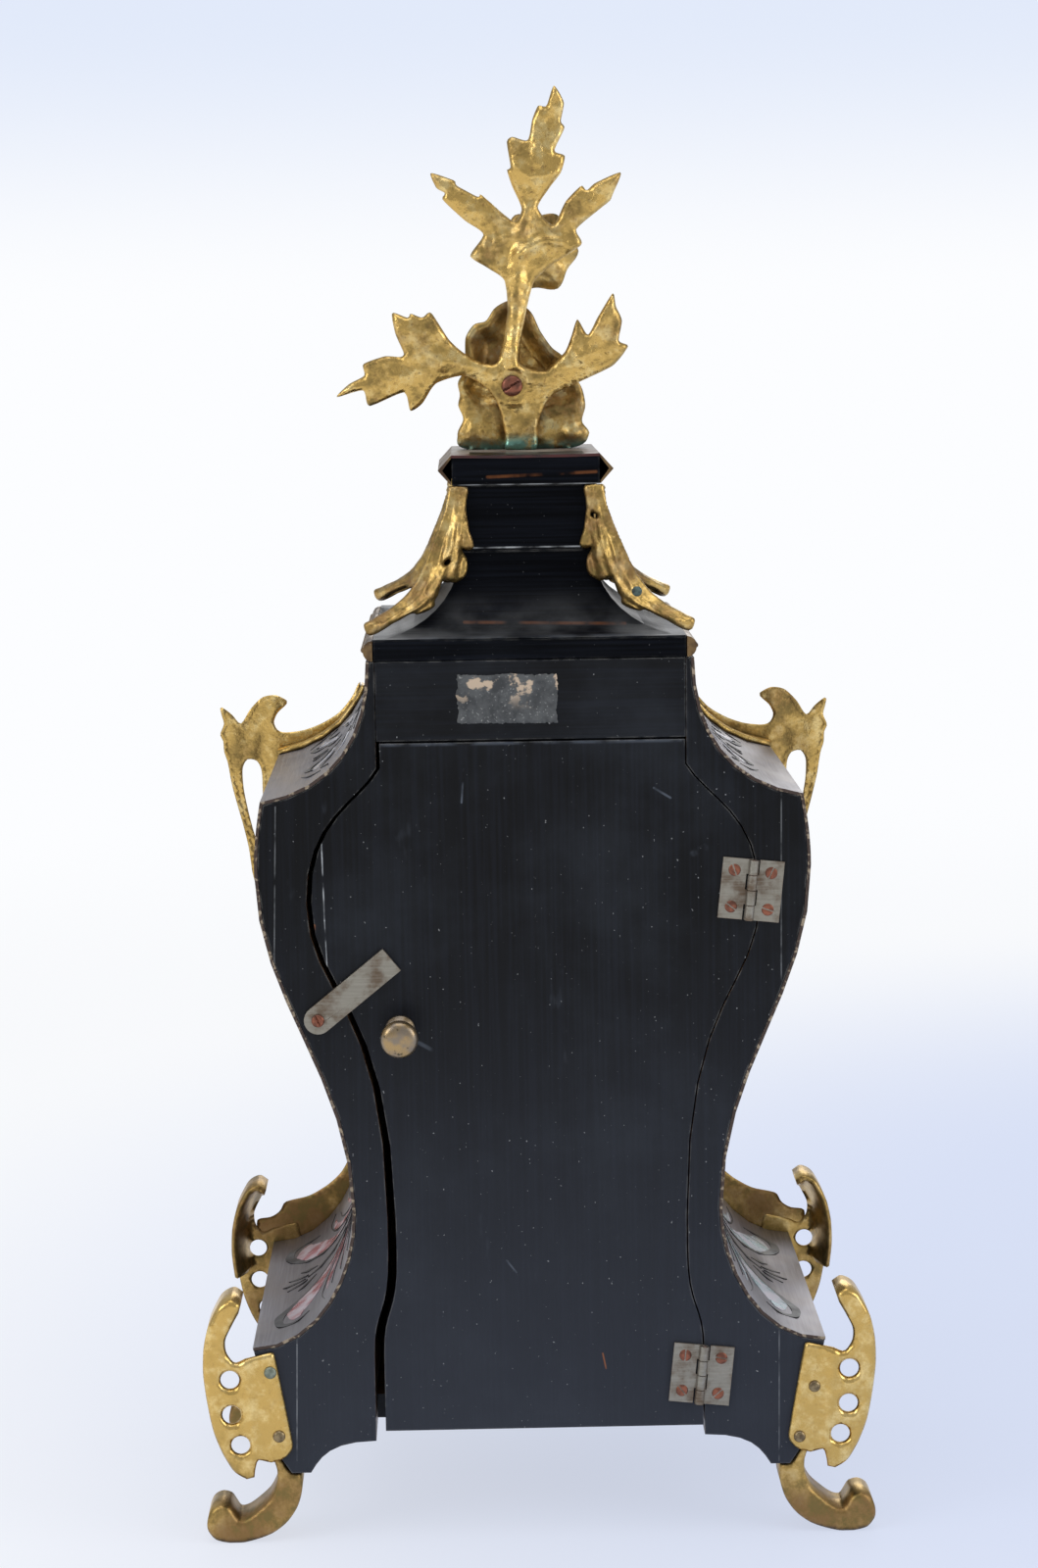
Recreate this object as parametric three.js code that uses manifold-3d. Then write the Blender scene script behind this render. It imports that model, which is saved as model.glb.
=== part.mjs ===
// A waisted bracket clock: an ebonised wooden case with sheet-metal marquetry on its sides,
// a hipped caddy top with a cast leaf and flower finial, four scrolled corner brackets and
// four scroll feet. A shaped back door with a turn button opens on the movement.
// Millimetres, +Z up, the floor at z = 0, the dial towards -Y, the back door towards +Y.
import * as THREE from 'three';
import { mergeVertices } from 'three/addons/utils/BufferGeometryUtils.js';
import Module from 'manifold-3d';

const wasm = await Module();
wasm.setup();

// ---- Sizes of the case. Rises go up from the floor, half widths go out from the middle.
const CASE_DEPTH = 120.5;
const TOE_LIFT = 23.5;
const BLOCK_RISE = 41.5;
const FLARE_RISE = 43;
const WAIST_RISE = 109;
const BULGE_RISE = 22.5;
const COVE_RISE = 42.9;
const TOP_HALF = 50.6;
const COVE_REACH = 33.6;
const BULGE_SWELL = 2.3;
const WAIST_DRAW = 28.2;
const FLARE_REACH = 32.5;
const BLOCK_TAPER = 8.4;
const TOE_CHAMFER = 3;
const TOE_CHAMFER_RISE = 4.5;
const TOE_WIDTH = 6.1;
const ARCH_RISE = 10.1;
const CURVE_STEPS = 8;

// Walls, boards and the glue and fitting gaps between them.
const GLUE = 0.15;
const VENEER = 1;
const FRONT_THICK = 10;
const BOARD = 8;
const RAIL_HEIGHT = 24.6;
const RAIL_THICK = 12;
const FLOOR_LIFT = 4;

// The opening for the back door, as the width of the stile left at each height.
const STILE_TOP = 2.6;
const STILE_BULGE = 15.9;
const STILE_WAIST = 10.9;
const STILE_FOOT = 38.5;
const OPENING_NECK = 8.3;
const OPENING_BULGE_DROP = 9.5;
const OPENING_WAIST_DROP = 2;
const OPENING_WAIST_FLAT = 11;
const OPENING_FOOT_DROP = 3;

// Back door, its knob, turn button and hinges.
const DOOR_THICK = 10;
const DOOR_GAP_HINGE = 0.45;
const DOOR_GAP_TOP = 0.7;
const DOOR_GAP_LATCH_TOP = 1.1;
const DOOR_GAP_LATCH_FOOT = 3.3;
const DOOR_SILL = 3.2;
const KNOB_REACH = 16.5;
const KNOB_RADIUS = 5.8;
const KNOB_DISC = 4.4;
const KNOB_NECK_RADIUS = 2.9;
const KNOB_TANG = 6;
const KNOB_IN_FROM_EDGE = 14.4;
const KNOB_ABOVE_WAIST = 58.9;
const LATCH_REACH = 30;
const LATCH_WIDTH = 8.8;
const LATCH_THICK = 1.6;
const LATCH_ABOVE_WAIST = 62.7;
const LATCH_OUT = 1;
const LATCH_TILT = 39;
const SCREW_HEAD_RADIUS = 2;
const SCREW_HEAD_THICK = 0.9;
const SCREW_SHANK_RADIUS = 1.1;
const SCREW_LENGTH = 7;
const HINGE_LEAF = 9.6;
const HINGE_HEIGHT = 19.2;
const HINGE_THICK = 0.9;
const HINGE_BARREL = 1.55;
const HINGE_PIN = 0.7;
const HINGE_KNUCKLES = 4;
const HINGE_INSET_UPPER = 2.7;
const HINGE_INSET_LOWER = 1;
const HINGE_BELOW_BULGE = 7.4;
const HINGE_BELOW_FLARE = 11.2;
const RUNNING = 0.2;

// Caddy top: a plate, a hollow cove on all four sides, a neck and a cap.
const CADDY_INSET = 2.3;
const CADDY_HALF = TOP_HALF - CADDY_INSET;
const CADDY_PLATE = 6.5;
const CADDY_COVE_RISE = 25;
const NECK_HALF = 21;
const NECK_RISE = 20.8;
const NECK_SPREAD = 0.8;
const CAP_HALF = 23.2;
const CAP_RISE = 9.4;
const CAP_STRIP = 4.2;
const STRIP_SHEET = 1;
const PLATE_BEAD = 3;

// Corner leaves of the caddy.
const LEAF_SHEET = 2.4;
const LEAF_CURL = 2.9;

// Cast mounts on the case corners, and the feet.
const BRACKET_SHEET = 2.4;
const BRACKET_BAND = 17;
const BRACKET_HOLE = 3;
const FRONT_BRACKET_LIFT = 8;
const FRONT_BRACKET_IN = 2;
const RUN_LAP = 5;
const MOUNT_SHEET = 3;
const MOUNT_BAND = 14;
const MOUNT_BAND_SHEET = 1.4;
const FOOT_DEPTH = 16;
const FOOT_SETBACK = 1;

// Finial.
const SPRAY_SHEET = 3;
const BASE_DEPTH = 28;
const BASE_WALL = 3;
const FLOWER_RADIUS = 14.6;
const FLOWER_DEPTH = 8;
const FLOWER_PETALS = 6;
const FLOWER_X = -5.2;
const FLOWER_ABOVE_SCREW = 42.5;
const FINIAL_SCREW_X = 3.4;
const FINIAL_SCREW_RISE = 20.5;
const FINIAL_SCREW_RADIUS = 3.4;
const FINIAL_SCREW_HEAD = 1.7;

// Dial, bezel and hands.
const DIAL_BELOW_BULGE = 12;
const DIAL_HOLE = 50;
const DIAL_LAP = 4;
const DIAL_SHEET = 1.5;
const BEZEL_RADIUS = 58;
const BEZEL_DEPTH = 9.5;
const BEZEL_LIP = 2.35;
const GLASS_SHEET = 1.8;
const GLASS_RISE = 9.5;
const BEZEL_PIN = 1.1;
const BEZEL_EAR = 2.4;
const BEZEL_PIN_OUT = 3.4;
const BEZEL_LUG_HALF = 7;
const BEZEL_EAR_HEIGHT = 3;
const MINUTE_HAND = 40;
const HOUR_HAND = 27;
const HAND_SHEET = 0.8;
const HAND_GAP = 1.6;
const APRON_SHEET = 4;
const DIAL_SIDES = 36;
const DOME_STEPS = 4;

// Movement: two round plates held apart by pillars, with the wheels between them.
const PLATE_RADIUS = 41;
const PLATE_SHEET = 2;
const PLATE_SPACE = 30;
const DIAL_FOOT = 12;
const PILLAR_RADIUS = 2.4;
const ARBOR = 1.1;
const CANNON_WALL = 0.8;
const TOOTH_PITCH = 2.9;
const GREAT_TEETH = 36;
const PINION_TEETH = 6;
const CENTRE_TEETH = 33;
const ESCAPE_TEETH = 20;
const ESCAPE_RADIUS = 8.5;
const ANCHOR_RISE = 6.5;
const BARREL_DRUM = 13.5;
const BARREL_DEPTH = 13;
const WHEEL_SHEET = 1.6;
const WINDING_SQUARE = 1.7;
const CRUTCH_LENGTH = 24;
const COCK_SHEET = 1.8;
const PENDULUM_LENGTH = 108;
const BOB_RADIUS = 13;
const BOB_THICK = 5;
const ROD_RADIUS = 0.9;
const BELL_RADIUS = 26;
const BELL_DEPTH = 13;
const BELL_WALL = 1.4;

// ---- Places worked out from the sizes.
const flareZ = TOE_LIFT + BLOCK_RISE;
const waistZ = flareZ + FLARE_RISE;
const bulgeZ = waistZ + WAIST_RISE;
const shoulderZ = bulgeZ + BULGE_RISE;
const caseTop = shoulderZ + COVE_RISE;
const archZ = TOE_LIFT + ARCH_RISE;
const shoulderHalf = TOP_HALF + COVE_REACH;
const bulgeHalf = shoulderHalf + BULGE_SWELL;
const waistHalf = bulgeHalf - WAIST_DRAW;
const flareHalf = waistHalf + FLARE_REACH;
const toeOuter = flareHalf - BLOCK_TAPER - TOE_CHAMFER;
const toeInner = toeOuter - TOE_WIDTH;
const openTop = caseTop - RAIL_HEIGHT;
const openTopHalf = TOP_HALF - STILE_TOP;
const openBulgeHalf = bulgeHalf - STILE_BULGE;
const openBulgeZ = bulgeZ - OPENING_BULGE_DROP;
const openWaistHalf = waistHalf - STILE_WAIST;
const openFootHalf = flareHalf - STILE_FOOT;
const glassFront = BEZEL_DEPTH - BEZEL_LIP - GLUE;
const midY = (glassFront + GLASS_RISE - KNOB_REACH) / 2;
const rearY = midY + CASE_DEPTH / 2;
const frontY = midY - CASE_DEPTH / 2;
const panelBackY = frontY + FRONT_THICK;
const doorBottom = archZ + DOOR_SILL;
const dialZ = bulgeZ - DIAL_BELOW_BULGE;

// ---- Materials.
const material = (color, roughness, metalness = 0, extra = {}) =>
  new THREE.MeshStandardMaterial({ color, roughness, metalness, ...extra });
const blackWood = () => material(0x22262b, 0.55);
const sheetMetal = () => material(0xa6a3a8, 0.35, 0.9);
const giltBronze = () => material(0xb39340, 0.42, 1);
const brass = () => material(0xc4a255, 0.32, 1);
const nickel = () => material(0x8f8c84, 0.4, 1);
const steel = () => material(0x6f7378, 0.35, 1);
const copper = () => material(0x9a5c45, 0.45, 1);
const blued = () => material(0x1b2440, 0.3, 1);
const dialMetal = () => material(0xd9cfae, 0.5, 0.3);
const clearGlass = () => material(0xe8f0f2, 0.05, 0, { transparent: true, opacity: 0.25 });

// ---- Solids.
// A closed mesh becomes a solid that can be joined and cut.
function solid(geometry) {
  const bare = geometry.clone();
  bare.deleteAttribute('normal');
  bare.deleteAttribute('uv');
  const merged = mergeVertices(bare, 1e-4);
  const index = merged.index.array;
  const triVerts = [];
  for (let i = 0; i < index.length; i += 3) {
    const [a, b, c] = [index[i], index[i + 1], index[i + 2]];
    if (a !== b && b !== c && a !== c) triVerts.push(a, b, c);
  }
  return new wasm.Manifold(new wasm.Mesh({
    numProp: 3,
    vertProperties: new Float32Array(merged.attributes.position.array),
    triVerts: new Uint32Array(triVerts),
  }));
}

function surface(body) {
  const mesh = body.getMesh();
  const geometry = new THREE.BufferGeometry();
  geometry.setAttribute('position', new THREE.BufferAttribute(mesh.vertProperties, 3));
  geometry.setIndex(new THREE.BufferAttribute(mesh.triVerts, 1));
  return geometry;
}

const join = (...bodies) => bodies.reduce((whole, next) => whole.add(next));
const cut = (body, ...tools) => tools.reduce((rest, tool) => rest.subtract(tool), body);
const meet = (...bodies) => bodies.reduce((whole, next) => whole.intersect(next));

// A geometry mirrored in X or Y keeps its faces pointing out.
function mirrored(geometry, x, y) {
  const copy = geometry.clone().scale(x, y, 1);
  if (x * y > 0) return copy;
  const index = copy.index.array;
  for (let i = 0; i < index.length; i += 3) {
    [index[i], index[i + 1]] = [index[i + 1], index[i]];
  }
  return copy;
}

const v2 = (x, y) => new THREE.Vector2(x, y);
const pts = (list) => list.map(([x, y]) => v2(x, y));
const radians = (degrees) => THREE.MathUtils.degToRad(degrees);

// The round path through a list of points.
function smooth(list, steps = 2) {
  const curve = new THREE.SplineCurve(pts(list));
  return curve.getPoints((list.length - 1) * steps);
}

// An outline runs anticlockwise, so that the walls of its holes face the right way.
function shapeOf(points, holes = []) {
  const shape = new THREE.Shape(THREE.ShapeUtils.isClockWise(points) ? points.slice().reverse() : points);
  holes.forEach(([x, y, radius]) => {
    shape.holes.push(new THREE.Path().absarc(x, y, radius, 0, Math.PI * 2, true));
  });
  return shape;
}

// An outline drawn in X and Z, made solid from y0 to y1.
function slab(shape, y0, y1, curveSegments = 6) {
  const settings = { depth: y1 - y0, bevelEnabled: false, curveSegments };
  const geometry = new THREE.ExtrudeGeometry(shape, settings);
  return solid(geometry.rotateX(Math.PI / 2).translate(0, y1, 0));
}

// An outline drawn in Y and Z, made solid from x0 to x1.
function slabAcross(shape, x0, x1) {
  const geometry = new THREE.ExtrudeGeometry(shape, { depth: x1 - x0, bevelEnabled: false });
  const turn = new THREE.Matrix4().makeBasis(
    new THREE.Vector3(0, 1, 0), new THREE.Vector3(0, 0, 1), new THREE.Vector3(1, 0, 0));
  return solid(geometry.applyMatrix4(turn).translate(x0, 0, 0));
}

function block(x0, x1, y0, y1, z0, z1) {
  const geometry = new THREE.BoxGeometry(x1 - x0, y1 - y0, z1 - z0);
  return solid(geometry.translate((x0 + x1) / 2, (y0 + y1) / 2, (z0 + z1) / 2));
}

// A round bar along Y, and the same along Z.
function bar(radius, y0, y1, x = 0, z = 0, sides = 16) {
  const geometry = new THREE.CylinderGeometry(radius, radius, y1 - y0, sides);
  return solid(geometry.translate(x, (y0 + y1) / 2, z));
}

function post(radius, z0, z1, x = 0, y = 0, sides = 14) {
  const geometry = new THREE.CylinderGeometry(radius, radius, z1 - z0, sides);
  return solid(geometry.rotateX(Math.PI / 2).translate(x, y, (z0 + z1) / 2));
}

// A shape turned about the Y axis from [radius, y] points that start and end on the axis, or close.
function turned(profile, sides = 40) {
  return solid(new THREE.LatheGeometry(pts(profile), sides));
}

// Every point of a line moved sideways by a distance, with mitred corners.
function offsetLine(line, distance) {
  const normals = line.slice(1).map((p, i) => {
    const d = p.clone().sub(line[i]).normalize();
    return v2(-d.y, d.x);
  });
  return line.map((p, i) => {
    const before = normals[Math.max(i - 1, 0)];
    const after = normals[Math.min(i, normals.length - 1)];
    const mid = before.clone().add(after).divideScalar(1 + before.dot(after));
    return p.clone().addScaledVector(mid, distance);
  });
}

// Where a line that runs down in z stands at a height.
function halfAt(line, z) {
  for (let i = 1; i < line.length; i += 1) {
    const [a, b] = [line[i - 1], line[i]];
    if (a.y >= z && b.y <= z && a.y > b.y) return a.x + ((b.x - a.x) * (a.y - z)) / (a.y - b.y);
  }
  return line[line.length - 1].x;
}

const flip = (line) => line.map((p) => v2(-p.x, p.y)).reverse();

// ---- The scene: every piece is a named mesh.
const clock = new THREE.Group();
const sides = [['left', 1], ['right', -1]];

function piece(name, shape, finish, parent = clock) {
  const geometry = (shape.isBufferGeometry ? shape : surface(shape)).toNonIndexed();
  geometry.computeVertexNormals();
  const mesh = new THREE.Mesh(geometry, finish());
  mesh.name = name;
  parent.add(mesh);
  return mesh;
}

// ---- Case outline, from the top down to the corner of the flare, outside the marquetry.
function caseLine() {
  const line = new THREE.Path();
  line.moveTo(TOP_HALF, caseTop);
  line.bezierCurveTo(TOP_HALF, caseTop - 0.53 * COVE_RISE,
    shoulderHalf - 0.69 * COVE_REACH, shoulderZ + 0.09 * COVE_RISE, shoulderHalf, shoulderZ);
  line.bezierCurveTo(shoulderHalf + 0.57 * BULGE_SWELL, shoulderZ - 0.33 * BULGE_RISE,
    bulgeHalf, bulgeZ + 0.36 * BULGE_RISE, bulgeHalf, bulgeZ);
  line.bezierCurveTo(bulgeHalf, bulgeZ - 0.38 * WAIST_RISE,
    waistHalf, waistZ + 0.42 * WAIST_RISE, waistHalf, waistZ);
  line.bezierCurveTo(waistHalf, waistZ - 0.43 * FLARE_RISE,
    flareHalf - 0.66 * FLARE_REACH, flareZ, flareHalf, flareZ);
  return line.getPoints(CURVE_STEPS);
}

// The edge of the opening, from the top rail down to the arch.
function openingLine() {
  const neckZ = openTop - OPENING_NECK;
  const flatZ = waistZ - OPENING_WAIST_DROP;
  const lowZ = flatZ - OPENING_WAIST_FLAT;
  const footZ = flareZ - OPENING_FOOT_DROP;
  const spread = openBulgeHalf - openTopHalf;
  const line = new THREE.Path();
  line.moveTo(openTopHalf, openTop);
  line.lineTo(openTopHalf, neckZ);
  line.bezierCurveTo(openTopHalf + 0.27 * spread, neckZ - 0.26 * (neckZ - openBulgeZ),
    openBulgeHalf, openBulgeZ + 0.64 * (neckZ - openBulgeZ), openBulgeHalf, openBulgeZ);
  line.bezierCurveTo(openBulgeHalf, openBulgeZ - 0.3 * (openBulgeZ - flatZ),
    openWaistHalf, flatZ + 0.72 * (openBulgeZ - flatZ), openWaistHalf, flatZ);
  line.lineTo(openWaistHalf, lowZ);
  line.bezierCurveTo(openWaistHalf, lowZ - 0.63 * (lowZ - footZ),
    openFootHalf, footZ + 0.47 * (lowZ - footZ), openFootHalf, footZ);
  line.lineTo(openFootHalf, archZ);
  return line.getPoints(CURVE_STEPS);
}

// The hollow curve under the case, from beside the opening out to the toe.
function archLine() {
  const reach = toeInner - openFootHalf;
  const line = new THREE.Path();
  line.moveTo(openFootHalf, archZ);
  line.bezierCurveTo(openFootHalf + 0.7 * reach, archZ,
    toeInner - 0.16 * reach, TOE_LIFT + 0.54 * ARCH_RISE, toeInner, TOE_LIFT);
  return line.getPoints(CURVE_STEPS - 2);
}

const outer = caseLine();
const opening = openingLine();
const arch = archLine();
const woodLine = offsetLine(outer, -(VENEER + GLUE));
const flareCorner = woodLine[woodLine.length - 1];
const toe = [
  v2(flareCorner.x - GLUE, flareCorner.y),
  v2(toeOuter + TOE_CHAMFER, TOE_LIFT + TOE_CHAMFER_RISE),
  v2(toeOuter, TOE_LIFT),
];
// Half outline of the wood, from the case top down to the toe and in along the arch.
const woodHalf = [...woodLine.slice(0, -1), ...toe, ...arch.slice().reverse()];

// Sides: solid shaped walls between the marquetry and the opening. The left one has a hole
// for the turn button's screw. The thin marquetry is bent over the whole outside of each side.
const latchZ = waistZ + LATCH_ABOVE_WAIST;
const latchX = (halfAt(outer, latchZ) + halfAt(opening, latchZ)) / 2 + LATCH_OUT;
const sideShape = shapeOf([...woodHalf, ...opening.slice(0, -1).reverse(), v2(openTopHalf, caseTop)]);
const sideBody = slab(sideShape, panelBackY + GLUE, rearY);
const latchHole = bar(SCREW_SHANK_RADIUS + RUNNING, rearY - SCREW_LENGTH - 1, rearY + 1, latchX, latchZ);
piece('side_left', cut(sideBody, latchHole), blackWood);
piece('side_right', mirrored(surface(sideBody), -1, 1), blackWood);

const veneerLine = offsetLine(outer, -VENEER);
const veneer = surface(slab(shapeOf([...outer, ...veneerLine.reverse()]), frontY, rearY));
sides.forEach(([side, x]) => piece(`marquetry_${side}`, mirrored(veneer, x, 1), sheetMetal));

// Front panel with the round hole for the dial.
const panelShape = shapeOf([...woodHalf, ...flip(woodHalf)], [[0, dialZ, DIAL_HOLE]]);
piece('front_panel', slab(panelShape, frontY, panelBackY, 18), blackWood);

// Boards that tie the two sides: the rail over the door, the roof and the floor.
const tieHalf = openTopHalf - GLUE;
piece('top_rail', block(-tieHalf, tieHalf, rearY - RAIL_THICK, rearY, openTop, caseTop), blackWood);
const tieFront = panelBackY + GLUE;
const roofRear = rearY - RAIL_THICK - GLUE;
piece('roof_board', block(-tieHalf, tieHalf, tieFront, roofRear, caseTop - BOARD, caseTop), blackWood);
const floorHalf = openFootHalf - GLUE;
const floorZ = archZ + FLOOR_LIFT;
const floorRear = rearY - DOOR_THICK - 4 * GLUE;
piece('floor_board', block(-floorHalf, floorHalf, tieFront, floorRear, floorZ, floorZ + BOARD), blackWood);

// ---- Caddy top. A hipped block shows the same profile from the back and from the side.
const caddy = new THREE.Group();
caddy.position.y = midY;
clock.add(caddy);
const depthExtra = CASE_DEPTH / 2 - CADDY_HALF;

function hipped(profile) {
  const whole = (extra) => {
    const right = profile.map((p) => v2(p.x + extra, p.y));
    return shapeOf([...right, ...flip(right)]);
  };
  return meet(slab(whole(0), -CASE_DEPTH, CASE_DEPTH), slabAcross(whole(depthExtra), -CASE_DEPTH, CASE_DEPTH));
}

const plateZ = caseTop + GLUE;
const coveZ = plateZ + CADDY_PLATE;
const neckZ = coveZ + CADDY_COVE_RISE;
const capZ = neckZ + NECK_RISE;
const capTop = capZ + CAP_RISE;
piece('caddy_plate', hipped(pts([[CADDY_HALF, plateZ], [CADDY_HALF, coveZ]])), blackWood, caddy);

const coveLine = new THREE.EllipseCurve(CADDY_HALF, neckZ, CADDY_HALF - NECK_HALF, CADDY_COVE_RISE,
  Math.PI * 1.5, Math.PI, true).getPoints(CURVE_STEPS + 2);
const coveFoot = pts([[CADDY_HALF, coveZ + GLUE], [CADDY_HALF, coveZ + 2 * GLUE]]);
piece('caddy_cove', hipped([...coveFoot, ...coveLine.slice(1)]), blackWood, caddy);

const neckTopHalf = NECK_HALF + NECK_SPREAD;
const neckLine = smooth([[NECK_HALF, neckZ + GLUE],
  [NECK_HALF + 0.3 * NECK_SPREAD, neckZ + 0.5 * NECK_RISE], [neckTopHalf, capZ - GLUE]]);
piece('caddy_neck', hipped(neckLine), blackWood, caddy);
piece('caddy_cap', hipped(pts([[CAP_HALF, capZ], [CAP_HALF, capTop]])), blackWood, caddy);

// Brass strips round the front and the two sides of the cap and the plate; the back stays bare.
function strip(outside, inside, half) {
  const back = depthExtra + half;
  return cut(hipped(outside), hipped(inside),
    block(-CASE_DEPTH, CASE_DEPTH, back, back + CASE_DEPTH, 0, capTop + CASE_DEPTH));
}
const capSeat = CAP_HALF + GLUE;
const capMid = capZ + CAP_RISE / 2;
const capVee = pts([[capSeat, capZ], [capSeat + CAP_STRIP, capMid], [capSeat, capTop]]);
const capHollow = pts([[capSeat, capZ - 1], [capSeat, capZ + STRIP_SHEET],
  [capSeat + CAP_STRIP - 1.4 * STRIP_SHEET, capMid], [capSeat, capTop - STRIP_SHEET], [capSeat, capTop + 1]]);
piece('cap_strip', strip(capVee, capHollow, CAP_HALF), brass, caddy);
const plateSeat = CADDY_HALF + GLUE;
const plateBead = new THREE.EllipseCurve(plateSeat, plateZ + CADDY_PLATE / 2, PLATE_BEAD, CADDY_PLATE / 2,
  -Math.PI / 2, Math.PI / 2).getPoints(CURVE_STEPS);
piece('plate_strip', strip(plateBead, pts([[plateSeat, plateZ - 1], [plateSeat, coveZ + 1]]), CADDY_HALF),
  brass, caddy);

// Corner leaves: a bent sheet over each hip, cut to a lobed outline on both of its faces.
// The outline is in shares of the cove's reach and rise, from the neck's corner.
const LEAF_LOBES = [
  [-0.06, 1.36], [-0.08, 1.03], [-0.02, 0.94], [-0.05, 0.66], [-0.02, 0.57], [0.1, 0.5],
  [0.2, 0.34], [0.27, 0.2], [0.36, 0.18], [0.44, 0.12], [0.6, 0.03], [0.76, -0.02], [1.1, -0.02],
];
const hipLine = [v2(CADDY_HALF, coveZ), ...coveLine.slice(1), ...neckLine.slice(1)];
const leafOff = 2 * GLUE;
const leafSkin = cut(hipped(offsetLine(hipLine, -(LEAF_SHEET + leafOff))), hipped(offsetLine(hipLine, -leafOff)));
function leafOutline(extra) {
  const reach = CADDY_HALF - NECK_HALF;
  const lobes = LEAF_LOBES.map(([a, b]) => v2(NECK_HALF + a * reach + extra, coveZ + b * CADDY_COVE_RISE));
  const top = capZ - leafOff - GLUE;
  return shapeOf([v2(NECK_HALF + extra, top), ...lobes,
    v2(CASE_DEPTH, lobes[lobes.length - 1].y), v2(CASE_DEPTH, top)]);
}
const curlX = CADDY_HALF - LEAF_CURL / 4;
const leafCurl = solid(new THREE.SphereGeometry(LEAF_CURL, 8, 6).translate(
  curlX, curlX + depthExtra, coveZ + LEAF_CURL + 3 * leafOff));
const leafBody = surface(join(meet(leafSkin,
  slab(leafOutline(0), 0, CASE_DEPTH), slabAcross(leafOutline(depthExtra), 0, CASE_DEPTH)), leafCurl));
[['rear', 1], ['front', -1]].forEach(([end, y]) => {
  sides.forEach(([side, x]) => {
    piece(`corner_leaf_${end}_${side}`, mirrored(leafBody, x, y), giltBronze, caddy);
  });
});

// ---- Cast mounts on the corners of the case.
// Scroll bracket: a hooked wing with three holes, nailed flat on the back or on the front.
// Its outline is measured from the corner of the flare.
const fromFlare = ([dx, dz]) => [flareHalf + dx, flareZ + dz];
const wingOuter = smooth([[3.4, 14.4], [6, 16.4], [10.8, 13.4], [14, 7.2], [15.7, 0], [16, -8.4],
  [14.8, -18], [13.1, -27], [10.3, -34.5], [6.8, -40.4], [2.9, -42.9]].map(fromFlare));
const wingInner = smooth([[2.5, -3.3], [5.9, -4.6], [8.4, -1.2], [8.6, 3], [6.4, 7.7],
  [3.4, 14.4]].map(fromFlare));
const flange = pts([[0.5, -42.5], [-0.1, -38.5], [-5, -38], [-10.9, -35.4], [-12.1, -31.6],
  [-9.6, -17.6], [-6.8, -1.9]].map(fromFlare));
const wingHoles = [[7.6, -10.1], [7.3, -21.6], [4.6, -31.6]].map(fromFlare)
  .map(([x, z]) => [x, z, BRACKET_HOLE]);
const wingShape = shapeOf([...wingOuter, ...flange, ...wingInner.slice(0, -1)], wingHoles);

// The band along the outer edge of the wing stands in towards the middle of the clock.
const bandOuter = wingOuter.slice(0, -6);
const bandInner = offsetLine(bandOuter, -BRACKET_SHEET);
const bandShape = shapeOf([...bandOuter, ...bandInner.slice(1).reverse()]);
const wingBack = rearY + GLUE + BRACKET_SHEET;
const rearWing = surface(join(slab(wingShape, rearY + GLUE, wingBack, 7),
  slab(bandShape, wingBack - BRACKET_BAND, wingBack)));
sides.forEach(([side, x]) => piece(`scroll_bracket_rear_${side}`, mirrored(rearWing, x, 1), giltBronze));

// The front brackets stand higher, and a leaf runs from them up the edge of the flare.
const runLow = offsetLine(outer.slice(-CURVE_STEPS), -RUN_LAP);
const runLeaf = smooth([[waistHalf + 3.2, waistZ - 6], [waistHalf + 6.5, flareZ + 28.2],
  [waistHalf + 10.4, flareZ + 22.4], [waistHalf + 15.3, flareZ + 17.7],
  [waistHalf + 21, flareZ + 14.8], [flareHalf - 3, flareZ + 13.4]]);
const runShape = shapeOf([...runLeaf, v2(flareHalf + 1, flareZ + 6), v2(flareHalf + 1, flareZ - 4),
  ...runLow.slice(2, -1).reverse()]);
const mountFace = frontY - GLUE;
const wingShift = [-FRONT_BRACKET_IN, 0, FRONT_BRACKET_LIFT];
const wingFront = mountFace - BRACKET_SHEET;
const frontWing = surface(join(slab(wingShape, wingFront, mountFace, 7).translate(wingShift),
  slab(bandShape, wingFront, wingFront + BRACKET_BAND).translate(wingShift),
  slab(runShape, wingFront, mountFace)));
sides.forEach(([side, x]) => piece(`scroll_bracket_front_${side}`, mirrored(frontWing, x, 1), giltBronze));

// Shoulder mounts: a curled leaf at each front shoulder, with a strut that stands off the
// case down to the bulge and a leaf that runs up the edge of the cove.
const fromShoulder = ([dx, dz]) => [shoulderHalf + dx, shoulderZ + dz];
const shoulderLeaf = smooth([[-28, 23.5], [-25, 18.2], [-20.6, 13], [-14.8, 9.4], [-8.6, 7.1],
  [-2.4, 6.3], [1.6, 7.4], [2.8, 9.9], [1, 12.9], [-2.8, 16.6]].map(fromShoulder));
const shoulderCurl = smooth([[-2.2, 18], [1.2, 19.4], [5.8, 18.2], [10, 14], [13.2, 9.6]].map(fromShoulder));
const shoulderTip = pts([[16.4, 13.2], [20.2, 15.8], [19.8, 10.6], [19.2, 7.2], [20.9, 5.4],
  [19.4, 0]].map(fromShoulder));
const strutOuter = smooth([[18.4, -3], [17, -11.5], [15.2, -19], [13.4, -26], [11.6, -33.5], [11, -41],
  [8.6, -50], [3.4, -58]].map(fromShoulder));
const shoulderInner = pts([[-2, -50], [-3, -20], [-4, -6], [-10, -3], [-20, 3], [-27, 11]].map(fromShoulder));
const strutWindow = smooth([[8.2, -3.4], [11.4, -2.8], [13.2, -6], [13, -13], [11.6, -21], [9.4, -30],
  [7, -34], [6, -28], [6.4, -16], [6.6, -7]].map(fromShoulder), 1);
const shoulderShape = shapeOf([...shoulderLeaf, ...shoulderCurl, ...shoulderTip, ...strutOuter,
  ...shoulderInner]);
shoulderShape.holes.push(new THREE.Path(strutWindow));
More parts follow.
